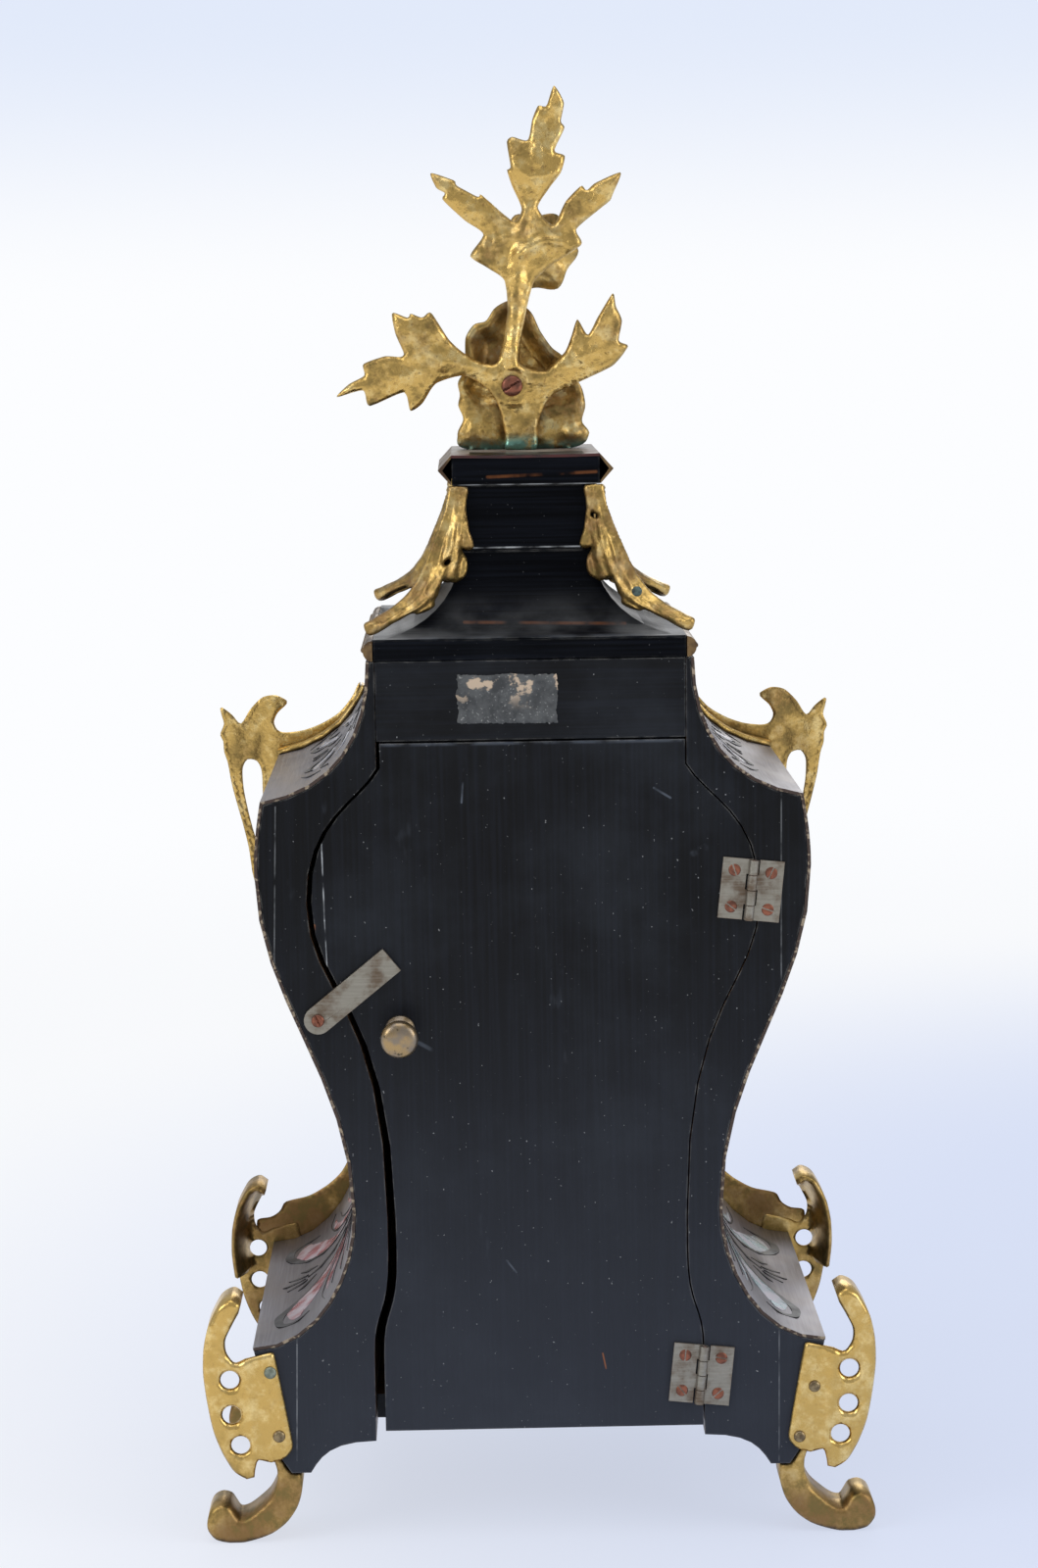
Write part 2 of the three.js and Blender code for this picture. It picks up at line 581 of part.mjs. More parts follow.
// A thin band behind the leaf lies over the edge of the cove.
const bandRun = outer.slice(3, CURVE_STEPS);
const mountBand = shapeOf([...offsetLine(bandRun, GLUE), ...offsetLine(bandRun, GLUE + MOUNT_BAND_SHEET).reverse()]);
const mountFront = mountFace - MOUNT_SHEET;
const shoulderMount = surface(join(slab(shoulderShape, mountFront, mountFace),
  slab(mountBand, mountFront + 1, mountFront + MOUNT_BAND)));
sides.forEach(([side, x]) => piece(`shoulder_mount_${side}`, mirrored(shoulderMount, x, 1), giltBronze));

// Feet: a scroll from the toe down and out to a roll, fixed against the toe's slanted side.
const fromToe = ([dx, z]) => [toeOuter + dx, z];
const footOuter = smooth([[-2.8, TOE_LIFT - 0.6], [-3, 19], [-1.9, 13], [1.1, 7.6], [6.4, 3.2], [12.2, 0.8],
  [16.5, 0], [20.5, 0], [25.2, 1.3], [27.5, 4.4], [27.4, 8], [26, 11.4], [23.2, 12.6], [20.2, 11.6],
  [18.6, 9]].map(fromToe), 1);
const footInner = smooth([[17.5, 7.2], [12.3, 9.7], [7.6, 13.9], [4.9, 19.6], [4.9, 24.4],
  [6, TOE_LIFT + 5]].map(fromToe));
const toeGap = 2 * GLUE;
const footSeat = pts([[TOE_CHAMFER + toeGap, TOE_LIFT + TOE_CHAMFER_RISE],
  [toeGap, TOE_LIFT - toeGap]].map(fromToe));
const footShape = shapeOf([...footOuter, ...footInner, ...footSeat]);
const footEnd = rearY - FOOT_SETBACK;
const footStart = frontY + FOOT_SETBACK;
const footRear = surface(slab(footShape, footEnd - FOOT_DEPTH, footEnd));
const footFront = surface(slab(footShape, footStart, footStart + FOOT_DEPTH));
sides.forEach(([side, x]) => {
  piece(`foot_rear_${side}`, mirrored(footRear, x, 1), giltBronze);
  piece(`foot_front_${side}`, mirrored(footFront, x, 1), giltBronze);
});

// ---- Finial: a leaf spray screwed to the back of a hollow rocaille base, with a flower.
const finialZ = capTop + GLUE;
const screwZ = finialZ + FINIAL_SCREW_RISE;
// Outlines go round the spray from its screw, each leaf from its root out to its tip and back.
const TANG = [[-8.1, -12.5], [-7.6, -20.5], [2.4, -20.5], [2.3, -16.5], [3.8, -8.2]];
const LOWER_LEAF = [[7.1, -1.6], [15.2, 3.5], [24.4, 1.1], [29, -5.4], [32.8, -7.6], [34.7, -1.6],
  [46, -5.9], [47.9, -0.8], [56.6, -2.9], [47.4, 3.9], [47.7, 7.6], [40.7, 10], [35.8, 9.7],
  [34.5, 10.7], [37.2, 17.3], [38.1, 23.8], [33, 22.1], [32.2, 23.5], [28.5, 22.1], [25.6, 23.7],
  [20, 15], [15.5, 10.8], [9.2, 7.4]];
const STEM_LEFT = [[4.4, 7.8], [1.1, 23.7], [1.9, 33.6], [7.3, 37.6], [12.8, 41.4]];
const UPPER_LEFT_LEAF = [[8.3, 48.2], [14.4, 52.7], [21.3, 59.3], [20.4, 61.3], [23.2, 63], [25, 67.8],
  [17.5, 65.3], [9.8, 59.9], [8.9, 60.7], [-1.2, 52.1]];
const TOP_LEAF = [[-4, 56], [-0.9, 63.4], [0.6, 68.3], [-0.6, 69.1], [0.5, 77.1], [-1.2, 78.7],
  [-6.2, 77.5], [-7.8, 84.3], [-9.7, 88.4], [-12.3, 88.2], [-14.7, 94.6], [-17.9, 89.3],
  [-16.8, 83.3], [-18, 81.3], [-14.6, 74.1], [-18, 72.5], [-16.6, 67.2], [-13.2, 62.9], [-9, 56.4]];
const UPPER_RIGHT_LEAF = [[-13.9, 50.7], [-18.1, 58.3], [-23.1, 63.1], [-24.7, 61.5],
  [-27.6, 63.9], [-35.8, 67.1], [-32.9, 59.8], [-29.1, 55.8], [-21.3, 49.4], [-23, 44.5]];
const STEM_RIGHT = [[-13, 38], [-7.6, 33], [-4.9, 23.6], [-2.6, 7.6]];
const SIDE_LEAF = [[-10.4, 4.7], [-17.1, 10.4], [-19.2, 15.2], [-21.3, 20.9], [-24.6, 15.8],
  [-27.9, 21.6], [-32.8, 29.1], [-33.7, 24.8], [-35.6, 20.3], [-34.5, 13.8], [-37.6, 12.1],
  [-32.7, 6], [-22.7, 1.3], [-13.6, -2.7], [-10.2, -6.8]];
const sprayOutline = pts([TANG, LOWER_LEAF, STEM_LEFT, UPPER_LEFT_LEAF, TOP_LEAF, UPPER_RIGHT_LEAF,
  STEM_RIGHT, SIDE_LEAF].flat().map(([dx, dz]) => [FINIAL_SCREW_X + dx, screwZ + dz]));
const finialShank = FINIAL_SCREW_RADIUS / 2;
const sprayHole = bar(finialShank + RUNNING, -1, SPRAY_SHEET + 1, FINIAL_SCREW_X, screwZ);
piece('finial_spray', cut(slab(shapeOf(sprayOutline), 0, SPRAY_SHEET), sprayHole), giltBronze, caddy);

// The base is cast hollow at the back in four round pockets, given as [x, z, radius].
const baseOutline = smooth([[-16, 0], [-22, 4.4], [-18.6, 8], [-20.6, 13], [-20, 18.6], [-16.5, 24],
  [-13.3, 30], [-9.2, 32.3], [-4.2, 39], [-2.2, 43.8], [4, 47.7], [9.9, 45], [12.1, 40.9],
  [15.6, 40.6], [18.4, 36], [18.2, 30], [21.6, 22.8], [20.4, 19.4], [21.6, 16], [19.4, 10.2],
  [21.8, 4.5], [18.2, 0]].map(([x, z]) => [x, z + finialZ]), 1);
const basePockets = [[6.5, 36, 7.5], [-10.5, 23, 5.5], [13.5, 15, 5], [-12, 8.5, 4.8]];
const baseBody = cut(slab(shapeOf(baseOutline), -GLUE - BASE_DEPTH, -GLUE),
  ...basePockets.map(([x, z, radius]) => bar(radius, BASE_WALL - BASE_DEPTH, 1, x, z + finialZ)),
  bar(finialShank + RUNNING, -BASE_DEPTH / 2, 1, FINIAL_SCREW_X, screwZ));
piece('finial_base', baseBody, giltBronze, caddy);

const headSeat = SPRAY_SHEET + GLUE;
const finialScrewBody = join(
  turned([[0, headSeat], [FINIAL_SCREW_RADIUS, headSeat], [FINIAL_SCREW_RADIUS, headSeat + 1],
    [0.6 * FINIAL_SCREW_RADIUS, headSeat + FINIAL_SCREW_HEAD - 0.2], [0, headSeat + FINIAL_SCREW_HEAD]], 20),
  bar(finialShank, 1 - BASE_DEPTH / 2, headSeat + 1, 0, 0, 16));
piece('finial_screw', finialScrewBody, copper, caddy).position.set(FINIAL_SCREW_X, 0, screwZ);

// The flower has round petals in a cupped disc, set against the front of the spray.
const petals = new THREE.Shape();
const petalReach = 0.56 * FLOWER_RADIUS;
for (let i = 0; i < FLOWER_PETALS; i += 1) {
  const angle = (i * 2 * Math.PI) / FLOWER_PETALS;
  petals.absarc(petalReach * Math.cos(angle), petalReach * Math.sin(angle), FLOWER_RADIUS - petalReach,
    angle - 1.2, angle + 1.2, false);
}
const flowerCup = turned([[0, 0], [0.9 * FLOWER_RADIUS, 0.35 * FLOWER_DEPTH],
  [FLOWER_RADIUS + 1, 0.6 * FLOWER_DEPTH], [FLOWER_RADIUS + 1, FLOWER_DEPTH],
  [0.8 * FLOWER_RADIUS, 0.9 * FLOWER_DEPTH], [0.3 * FLOWER_RADIUS, 0.6 * FLOWER_DEPTH],
  [0, 0.62 * FLOWER_DEPTH]], 18);
const flowerBody = surface(meet(slab(petals, 0, FLOWER_DEPTH, 4), flowerCup));
piece('finial_flower', mirrored(flowerBody, 1, -1), giltBronze, caddy)
  .position.set(FLOWER_X, -GLUE, screwZ + FLOWER_ABOVE_SCREW);

// ---- Back door, knob, turn button and hinges.
function doorOutline() {
  const edge = opening.filter((p) => p.y > doorBottom);
  const latchEdge = edge.map((p) => {
    const down = (openTop - p.y) / (openTop - doorBottom);
    const gap = DOOR_GAP_LATCH_TOP + (DOOR_GAP_LATCH_FOOT - DOOR_GAP_LATCH_TOP) * down;
    return v2(p.x - gap, p.y);
  });
  const ends = (line) => {
    const top = v2(line[0].x, openTop - DOOR_GAP_TOP);
    return [top, ...line.slice(1), v2(line[line.length - 1].x, doorBottom)];
  };
  return [...ends(latchEdge), ...flip(ends(offsetLine(edge, -DOOR_GAP_HINGE)))];
}
const knobZ = waistZ + KNOB_ABOVE_WAIST;
const knobX = halfAt(opening, knobZ) - KNOB_IN_FROM_EDGE;
const tangRadius = 0.6 * KNOB_NECK_RADIUS;
const doorBody = cut(slab(shapeOf(doorOutline()), rearY - DOOR_THICK, rearY),
  bar(tangRadius + RUNNING, rearY - KNOB_TANG - 1, rearY + 1, knobX, knobZ));
piece('rear_door', doorBody, blackWood);

const knobDisc = KNOB_REACH - KNOB_DISC;
const knobBody = turned([[0, -KNOB_TANG], [tangRadius, -KNOB_TANG], [tangRadius, GLUE],
  [1.5 * KNOB_NECK_RADIUS, GLUE], [1.5 * KNOB_NECK_RADIUS, 1.4], [KNOB_NECK_RADIUS, 2.6],
  [0.9 * KNOB_NECK_RADIUS, 6], [KNOB_NECK_RADIUS, knobDisc - 1.4], [KNOB_RADIUS - 0.8, knobDisc],
  [KNOB_RADIUS, knobDisc + 1], [KNOB_RADIUS, KNOB_REACH - 1.3], [0.85 * KNOB_RADIUS, KNOB_REACH - 0.3],
  [0, KNOB_REACH]], 18);
piece('door_knob', knobBody, brass).position.set(knobX, rearY, knobZ);

const latchShape = new THREE.Shape();
latchShape.moveTo(LATCH_REACH, -LATCH_WIDTH / 2);
latchShape.lineTo(LATCH_REACH, LATCH_WIDTH / 2);
latchShape.absarc(0, 0, LATCH_WIDTH / 2, Math.PI / 2, Math.PI * 1.5, false);
latchShape.holes.push(new THREE.Path().absarc(0, 0, SCREW_SHANK_RADIUS + RUNNING, 0, Math.PI * 2, true));
const latch = piece('turn_button', slab(latchShape, RUNNING, RUNNING + LATCH_THICK, 8), nickel);
latch.position.set(latchX, rearY, latchZ);
latch.rotation.y = radians(LATCH_TILT - 180);
const latchTop = LATCH_THICK + 2 * RUNNING;
const latchScrewBody = join(bar(SCREW_HEAD_RADIUS, latchTop, latchTop + SCREW_HEAD_THICK),
  bar(SCREW_SHANK_RADIUS, -SCREW_LENGTH, latchTop + SCREW_HEAD_THICK / 2, 0, 0, 12));
piece('turn_button_screw', latchScrewBody, copper).position.set(latchX, rearY, latchZ);

// Hinge leaves lie on the back, their barrels on one slanted line beside the door.
const upperZ = bulgeZ - HINGE_BELOW_BULGE;
const lowerZ = flareZ - HINGE_BELOW_FLARE;
const upperX = HINGE_INSET_UPPER - halfAt(opening, upperZ);
const lowerX = HINGE_INSET_LOWER - halfAt(opening, lowerZ);
const barrelOut = HINGE_BARREL + RUNNING;
const knuckle = HINGE_HEIGHT / HINGE_KNUCKLES;

function hingeLeaf(direction, first) {
  const x = direction * HINGE_LEAF;
  const plateY = RUNNING / 2 - barrelOut;
  const room = HINGE_BARREL + 2 * RUNNING;
  const end = HINGE_HEIGHT / 2;
  let leaf = block(Math.min(0, x), Math.max(0, x), plateY, plateY + HINGE_THICK, -end, end);
  for (let i = 0; i < HINGE_KNUCKLES; i += 1) {
    const z = end - (i + 1) * knuckle;
    if (i % 2 === first) {
      leaf = join(leaf, post(HINGE_BARREL, z + RUNNING / 2, z + knuckle - RUNNING / 2));
    } else {
      leaf = cut(leaf, block(-room, room, -2 * room, 2 * room, z - RUNNING / 2, z + knuckle + RUNNING / 2));
    }
  }
  return cut(leaf, post(HINGE_PIN + RUNNING, -HINGE_HEIGHT, HINGE_HEIGHT));
}
const pinBody = post(HINGE_PIN, -HINGE_HEIGHT / 2, HINGE_HEIGHT / 2);
[['upper', upperX, upperZ], ['lower', lowerX, lowerZ]].forEach(([place, x, z]) => {
  const hinge = new THREE.Group();
  hinge.position.set(x, rearY + barrelOut, z);
  hinge.rotation.y = Math.atan2(upperX - lowerX, upperZ - lowerZ);
  clock.add(hinge);
  piece(`hinge_leaf_door_${place}`, hingeLeaf(1, 0), nickel, hinge);
  piece(`hinge_leaf_case_${place}`, hingeLeaf(-1, 1), nickel, hinge);
  piece(`hinge_pin_${place}`, pinBody, nickel, hinge);
});

// ---- Dial, glazed bezel and hands, about the dial's centre.
const dial = new THREE.Group();
dial.position.z = dialZ;
clock.add(dial);
const glassRim = DIAL_HOLE - 1;
const seatRadius = glassRim + 2 * GLUE;
const seatY = BEZEL_DEPTH - BEZEL_LIP;
const bezelRing = mirrored(surface(turned([[seatRadius, GLUE], [BEZEL_RADIUS, GLUE],
  [BEZEL_RADIUS, 0.35 * BEZEL_DEPTH], [BEZEL_RADIUS - 1.2, 0.62 * BEZEL_DEPTH],
  [BEZEL_RADIUS - 4.4, BEZEL_DEPTH], [glassRim, BEZEL_DEPTH], [glassRim - 1.6, seatY],
  [seatRadius, seatY], [seatRadius, GLUE]], DIAL_SIDES)), 1, -1).translate(0, frontY, 0);
const earX = -(BEZEL_RADIUS + BEZEL_PIN_OUT);
const earY = frontY - BEZEL_PIN_OUT;
const bezelBody = cut(join(solid(bezelRing),
  post(BEZEL_EAR, -BEZEL_LUG_HALF, BEZEL_LUG_HALF, earX, earY),
  block(earX, BEZEL_EAR - BEZEL_RADIUS, earY - 1, earY + 1, -BEZEL_LUG_HALF, BEZEL_LUG_HALF)),
post(BEZEL_PIN + RUNNING, -2 * BEZEL_LUG_HALF, 2 * BEZEL_LUG_HALF, earX, earY));
piece('bezel', bezelBody, brass, dial);

// The bezel's hinge is a small plate on the front panel with an ear above and below the lug.
const earStart = BEZEL_LUG_HALF + RUNNING;
const earEnd = earStart + BEZEL_EAR_HEIGHT;
const ear = (z0, z1) => join(post(BEZEL_EAR, z0, z1, earX, earY),
  block(earX - BEZEL_EAR, earX + BEZEL_EAR, earY, frontY - GLUE, z0, z1));
const hingePlate = block(earX - 2 * BEZEL_EAR, earX + BEZEL_EAR, frontY - GLUE - 0.8, frontY - GLUE,
  -earEnd, earEnd);
piece('bezel_hinge', join(hingePlate, ear(earStart, earEnd), ear(-earEnd, -earStart),
  post(BEZEL_PIN, -earStart - 1, earStart + 1, earX, earY)), brass, dial);

// Domed glass with a flat rim behind the bezel's lip.
function dome(half, rise, from) {
  const radius = (half * half + rise * rise) / (2 * rise);
  const spread = Math.asin(half / radius);
  const points = [];
  for (let i = 0; i < DOME_STEPS; i += 1) {
    const angle = spread * (1 - i / DOME_STEPS);
    points.push([radius * Math.sin(angle), from + rise - radius * (1 - Math.cos(angle))]);
  }
  return [...points, [0, from + rise]];
}
const glassBack = glassFront - GLASS_SHEET;
const domeHalf = glassRim - 2;
const glassBody = mirrored(surface(turned([
  ...dome(domeHalf, GLASS_RISE - GLASS_SHEET / 2, glassBack).reverse(), [glassRim, glassBack],
  [glassRim, glassFront], ...dome(domeHalf, GLASS_RISE, glassFront)], DIAL_SIDES)), 1, -1).translate(0, frontY, 0);
piece('dial_glass', glassBody, clearGlass, dial);

// Dial sheet behind the front panel, with holes for the hands and the two winding squares.
const pitchRadius = (teeth) => (teeth * TOOTH_PITCH) / (2 * Math.PI);
const barrelOffset = (pitchRadius(GREAT_TEETH) + pitchRadius(PINION_TEETH)) / Math.SQRT2;
const dialFront = panelBackY + GLUE;
const dialBack = dialFront + DIAL_SHEET;
const cannonOuter = ARBOR + RUNNING + CANNON_WALL;
const hourPipe = cannonOuter + RUNNING + CANNON_WALL;
const dialShape = new THREE.Shape().absarc(0, 0, DIAL_HOLE + DIAL_LAP, 0, Math.PI * 2);
[[0, 0, hourPipe + RUNNING], [-barrelOffset, -barrelOffset, 2.3 * WINDING_SQUARE],
  [barrelOffset, -barrelOffset, 2.3 * WINDING_SQUARE]].forEach(([x, z, radius]) => {
  dialShape.holes.push(new THREE.Path().absarc(x, z, radius, 0, Math.PI * 2, true));
});
piece('dial', slab(dialShape, dialFront, dialBack, 10), dialMetal, dial);

// Hands: a hub with a pipe behind it, and a pierced leaf blade.
function hand(length, width, pipeOuter, pipeInner, y, pipeEnd) {
  const hub = pipeOuter + 1.2;
  const half = [[0.5 * hub, 0], [0.55 * width, 0.42 * length], [width, 0.6 * length],
    [0.5 * width, 0.8 * length], [0, length]];
  const edge = smooth(half);
  const shape = shapeOf([...edge, ...flip(edge).slice(1)], [[0, 0.6 * length, 0.55 * width]]);
  return cut(join(slab(shape, y - HAND_SHEET, y), bar(hub, y - HAND_SHEET, y),
    bar(pipeOuter, y - HAND_SHEET, pipeEnd)), bar(pipeInner, y - 2 * HAND_SHEET, pipeEnd + 1));
}
const hourY = panelBackY - HAND_GAP;
const minuteY = hourY - HAND_SHEET - HAND_GAP;
const plateFrontY = dialBack + DIAL_FOOT;
piece('hour_hand', hand(HOUR_HAND, 3.4, hourPipe, cannonOuter + RUNNING, hourY, plateFrontY - 4), blued, dial);
piece('minute_hand', hand(MINUTE_HAND, 2.6, cannonOuter, ARBOR + RUNNING, minuteY, plateFrontY - 1), blued, dial);

// ---- Movement, about the dial's centre.
const innerFront = plateFrontY + PLATE_SHEET;
const plateRearY = innerFront + PLATE_SPACE;
const plateEnd = plateRearY + PLATE_SHEET;
const arborHole = ARBOR + RUNNING;
const pillarAt = PLATE_RADIUS - 1.6 * PILLAR_RADIUS;
const onCircle = (degrees, radius) => [radius * Math.cos(radians(degrees)), radius * Math.sin(radians(degrees))];
const escapeZ = pitchRadius(CENTRE_TEETH) + pitchRadius(PINION_TEETH);
const anchorZ = escapeZ + ESCAPE_RADIUS + ANCHOR_RISE;
const barrelSpots = [[-barrelOffset, -barrelOffset], [barrelOffset, -barrelOffset]];
const plateDisc = (y0, holes) => cut(bar(PLATE_RADIUS, y0, y0 + PLATE_SHEET, 0, 0, 32),
  ...holes.map(([x, z, radius]) => bar(radius, y0 - 1, y0 + PLATE_SHEET + 1, x, z, 12)));
const dialFeet = [20, 160, 262].map((degrees) => {
  const [x, z] = onCircle(degrees, pillarAt);
  return bar(0.8 * PILLAR_RADIUS, dialBack + GLUE, innerFront - 1, x, z, 10);
});
const pillars = [55, 125, 195, 270, 345].map((degrees) => {
  const [x, z] = onCircle(degrees, pillarAt);
  return bar(PILLAR_RADIUS, innerFront - 1, plateRearY - GLUE, x, z, 10);
});
const frontHoles = [[0, 0, arborHole], [0, escapeZ, arborHole], [0, anchorZ, arborHole],
  ...barrelSpots.map(([x, z]) => [x, z, 2 * ARBOR + RUNNING])];
piece('movement_front_plate', join(plateDisc(plateFrontY, frontHoles), ...dialFeet, ...pillars), brass, dial);

// Back plate with the post that carries the bell. The hammer's arbor turns in it.
const bellX = 17;
const bellZ = 4;
const bellY = plateEnd + 22;
const hammerX = 24;
const hammerZ = -27;
const rearHoles = [[0, 0, arborHole], [0, escapeZ, arborHole], [0, anchorZ, 2 * ARBOR + RUNNING],
  [hammerX, hammerZ, arborHole], ...barrelSpots.map(([x, z]) => [x, z, arborHole])];
piece('movement_back_plate', join(plateDisc(plateRearY, rearHoles),
  bar(2 * ARBOR, plateEnd - 1, bellY, bellX, bellZ, 12)), brass, dial);

// A toothed wheel with straight-sided teeth that end at its pitch circle.
function gear(teeth, phase = 0) {
  const radius = pitchRadius(teeth) - RUNNING / 2;
  const points = [];
  for (let i = 0; i < teeth; i += 1) {
    const angle = ((i + phase) * 2 * Math.PI) / teeth;
    const tip = (0.22 * Math.PI) / teeth;
    points.push([angle - tip, radius], [angle + tip, radius],
      [angle + Math.PI / teeth, radius - TOOTH_PITCH / 2]);
  }
  return shapeOf(points.map(([a, r]) => v2(r * Math.sin(a), r * Math.cos(a))).reverse());
}
const wheel = (shape, y) => slab(shape, y, y + WHEEL_SHEET);
const pinion = (y, phase = 0) => slab(gear(PINION_TEETH, phase), y - 1, y + WHEEL_SHEET + 1);
const arborStart = plateFrontY + 0.4;
const arborEnd = plateEnd - 0.2;

// Barrels: a drum with its great wheel, on an arbor that ends in a winding square.
const squareStart = dialFront - 1;
function barrel(wheelY, drumY) {
  const square = new THREE.BoxGeometry(2 * WINDING_SQUARE, plateFrontY - squareStart, 2 * WINDING_SQUARE);
  return join(wheel(gear(GREAT_TEETH, 0.5), wheelY), bar(BARREL_DRUM, drumY, drumY + BARREL_DEPTH, 0, 0, 22),
    solid(square.translate(0, (plateFrontY + squareStart) / 2, 0)),
    bar(2 * ARBOR, plateFrontY - 1, plateRearY - 0.5, 0, 0, 12), bar(ARBOR, plateRearY - 1, arborEnd, 0, 0, 12));
}
const goingWheelY = innerFront + 20.5;
const strikeWheelY = innerFront + 4;
piece('going_barrel', barrel(goingWheelY, goingWheelY - BARREL_DEPTH + 0.5), brass, dial)
  .position.set(-barrelOffset, 0, -barrelOffset);
piece('strike_barrel', barrel(strikeWheelY, strikeWheelY + WHEEL_SHEET - 0.5), brass, dial)
  .position.set(barrelOffset, 0, -barrelOffset);

// Centre wheel: its pinion is driven by the going barrel, and it drives the escape pinion.
const centreWheelY = goingWheelY + 5;
piece('centre_wheel', join(wheel(gear(CENTRE_TEETH), centreWheelY), pinion(goingWheelY),
  bar(ARBOR, minuteY - 1.6, arborEnd, 0, 0, 12)), brass, dial);

// Escape wheel with pointed teeth, on an arbor with a pinion.
const escapeWheelY = innerFront + 5;
const escapePoints = [];
for (let i = 0; i < ESCAPE_TEETH; i += 1) {
  const angle = (i * 2 * Math.PI) / ESCAPE_TEETH;
  const root = angle + (1.2 * Math.PI) / ESCAPE_TEETH;
  escapePoints.push(v2(ESCAPE_RADIUS * Math.sin(angle), ESCAPE_RADIUS * Math.cos(angle)),
    v2((ESCAPE_RADIUS - 1.8) * Math.sin(root), (ESCAPE_RADIUS - 1.8) * Math.cos(root)));
}
piece('escape_wheel', join(wheel(shapeOf(escapePoints.reverse()), escapeWheelY), pinion(centreWheelY, 0.5),
  bar(ARBOR, arborStart, arborEnd, 0, 0, 12)), brass, dial).position.z = escapeZ;

// Anchor: two pallets over the escape wheel, and a crutch behind the back plate whose fork
// holds the pendulum's rod.
const crutchY = plateEnd + 3;
const cockY = crutchY + 3;
const rodY = cockY + COCK_SHEET + ROD_RADIUS + 0.3;
const anchorShape = shapeOf(pts([[-1.8, 2], [1.8, 2], [6.6, -2.2], [7.6, -7.2], [6.2, -8], [4.6, -3.6],
  [0, -1.4], [-4.6, -3.6], [-6.2, -8], [-7.6, -7.2], [-6.6, -2.2]]));
const forkIn = ROD_RADIUS + 0.4;
const forkTop = 2 - CRUTCH_LENGTH;
const tine = (x) => block(x, x + 1, crutchY - 0.6, rodY + 0.7, -CRUTCH_LENGTH, forkTop);
const anchorBody = join(slab(anchorShape, escapeWheelY - 0.6, escapeWheelY + WHEEL_SHEET + 0.6),
  bar(ARBOR, arborStart, cockY + 1.2, 0, 0, 12),
  block(-1, 1, crutchY - 0.6, crutchY + 0.6, -CRUTCH_LENGTH, 0),
  block(-forkIn - 1, forkIn + 1, crutchY - 0.6, crutchY + 0.6, -CRUTCH_LENGTH, forkTop),
  tine(forkIn), tine(-forkIn - 1));
piece('anchor', anchorBody, steel, dial).position.z = anchorZ;

// Cock: a bridge screwed to the back plate over the anchor's arbor. The stud behind it
// carries the pendulum in line with that arbor.
const studRadius = 1.5;
const studEnd = rodY + 2.2;
const cockFoot = (x) => block(x, x + 3, plateEnd + GLUE, cockY + 1, -2.6, 3);
const cockBody = join(cut(join(block(-11, 11, cockY, cockY + COCK_SHEET, -2.6, 3), cockFoot(-11), cockFoot(8)),
  bar(arborHole, cockY - 1, cockY + 1.4, 0, 0, 12)), bar(studRadius, cockY + 1.5, studEnd, 0, 0, 12));
piece('pendulum_cock', cockBody, brass, dial).position.z = anchorZ;

// Pendulum: an eye over the stud, a thin rod and a lens-shaped bob with a rating nut.
const eyeBody = cut(bar(3, rodY - 0.8, rodY + 0.8), bar(studRadius + RUNNING, rodY - 2, rodY + 2, 0, 0, 12));
const bobBody = turned([[0, -BOB_THICK / 2], [0.6 * BOB_RADIUS, -0.42 * BOB_THICK],
  [BOB_RADIUS, -0.08 * BOB_THICK], [BOB_RADIUS, 0.08 * BOB_THICK], [0.6 * BOB_RADIUS, 0.42 * BOB_THICK],
  [0, BOB_THICK / 2]], 24).translate([0, rodY, -PENDULUM_LENGTH]);
const rodEnd = -PENDULUM_LENGTH - BOB_RADIUS - 5;
piece('pendulum', join(eyeBody, post(ROD_RADIUS, rodEnd, -2.2, 0, rodY, 10), bobBody,
  post(2.4, rodEnd + 1, rodEnd + 3.4, 0, rodY, 12)), brass, dial).position.z = anchorZ;

// Bell, and the hammer that strikes its rim.
const bellCurve = (radius, depth) => [[radius, 0], [0.93 * radius, 0.3 * depth], [0.7 * radius, 0.7 * depth],
  [0.35 * radius, 0.94 * depth], [0, depth]];
const bellShell = turned([...bellCurve(BELL_RADIUS - BELL_WALL, BELL_DEPTH - BELL_WALL).reverse(),
  ...bellCurve(BELL_RADIUS, BELL_DEPTH)], 28);
piece('bell', cut(bellShell, bar(ARBOR, 0, BELL_DEPTH + 1, 0, 0, 12)), brass, dial)
  .position.set(bellX, bellY + 3 * GLUE + BELL_WALL - BELL_DEPTH, bellZ);

const armX = 11.9;
const armZ = 8.5;
const armLength = Math.hypot(armX, armZ);
const hammerBody = join(bar(ARBOR, plateRearY - 4, bellY - 10, 0, 0, 12),
  block(-0.9, 0.9, bellY - 12, bellY - 10.2, 0, armLength),
  bar(2.6, bellY - 14, bellY - 8, 0, armLength, 14));
const hammer = piece('hammer', hammerBody, steel, dial);
hammer.position.set(hammerX, 0, hammerZ);
hammer.rotation.y = Math.atan2(armX, armZ);

// ---- Cast rocaille apron on the front panel under the bezel.
const apronTop = dialZ - BEZEL_RADIUS - 2.5;
const apronSide = smooth([[0, 0.4], [9, -0.4], [20, 2.4], [27, -2], [24, -9], [16, -11], [14, -19],
  [7, -26], [0, -31]].map(([x, z]) => [x, z + apronTop]));
const apronShape = shapeOf([...apronSide, ...flip(apronSide).slice(1, -1)]);
piece('front_apron', slab(apronShape, mountFace - APRON_SHEET, mountFace), giltBronze);

export default clock;
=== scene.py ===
from math import atan2, cos, pi, radians, sin, sqrt

import bmesh
import bpy
import numpy as np
from mathutils import Matrix, Vector, noise
from mathutils.geometry import delaunay_2d_cdt


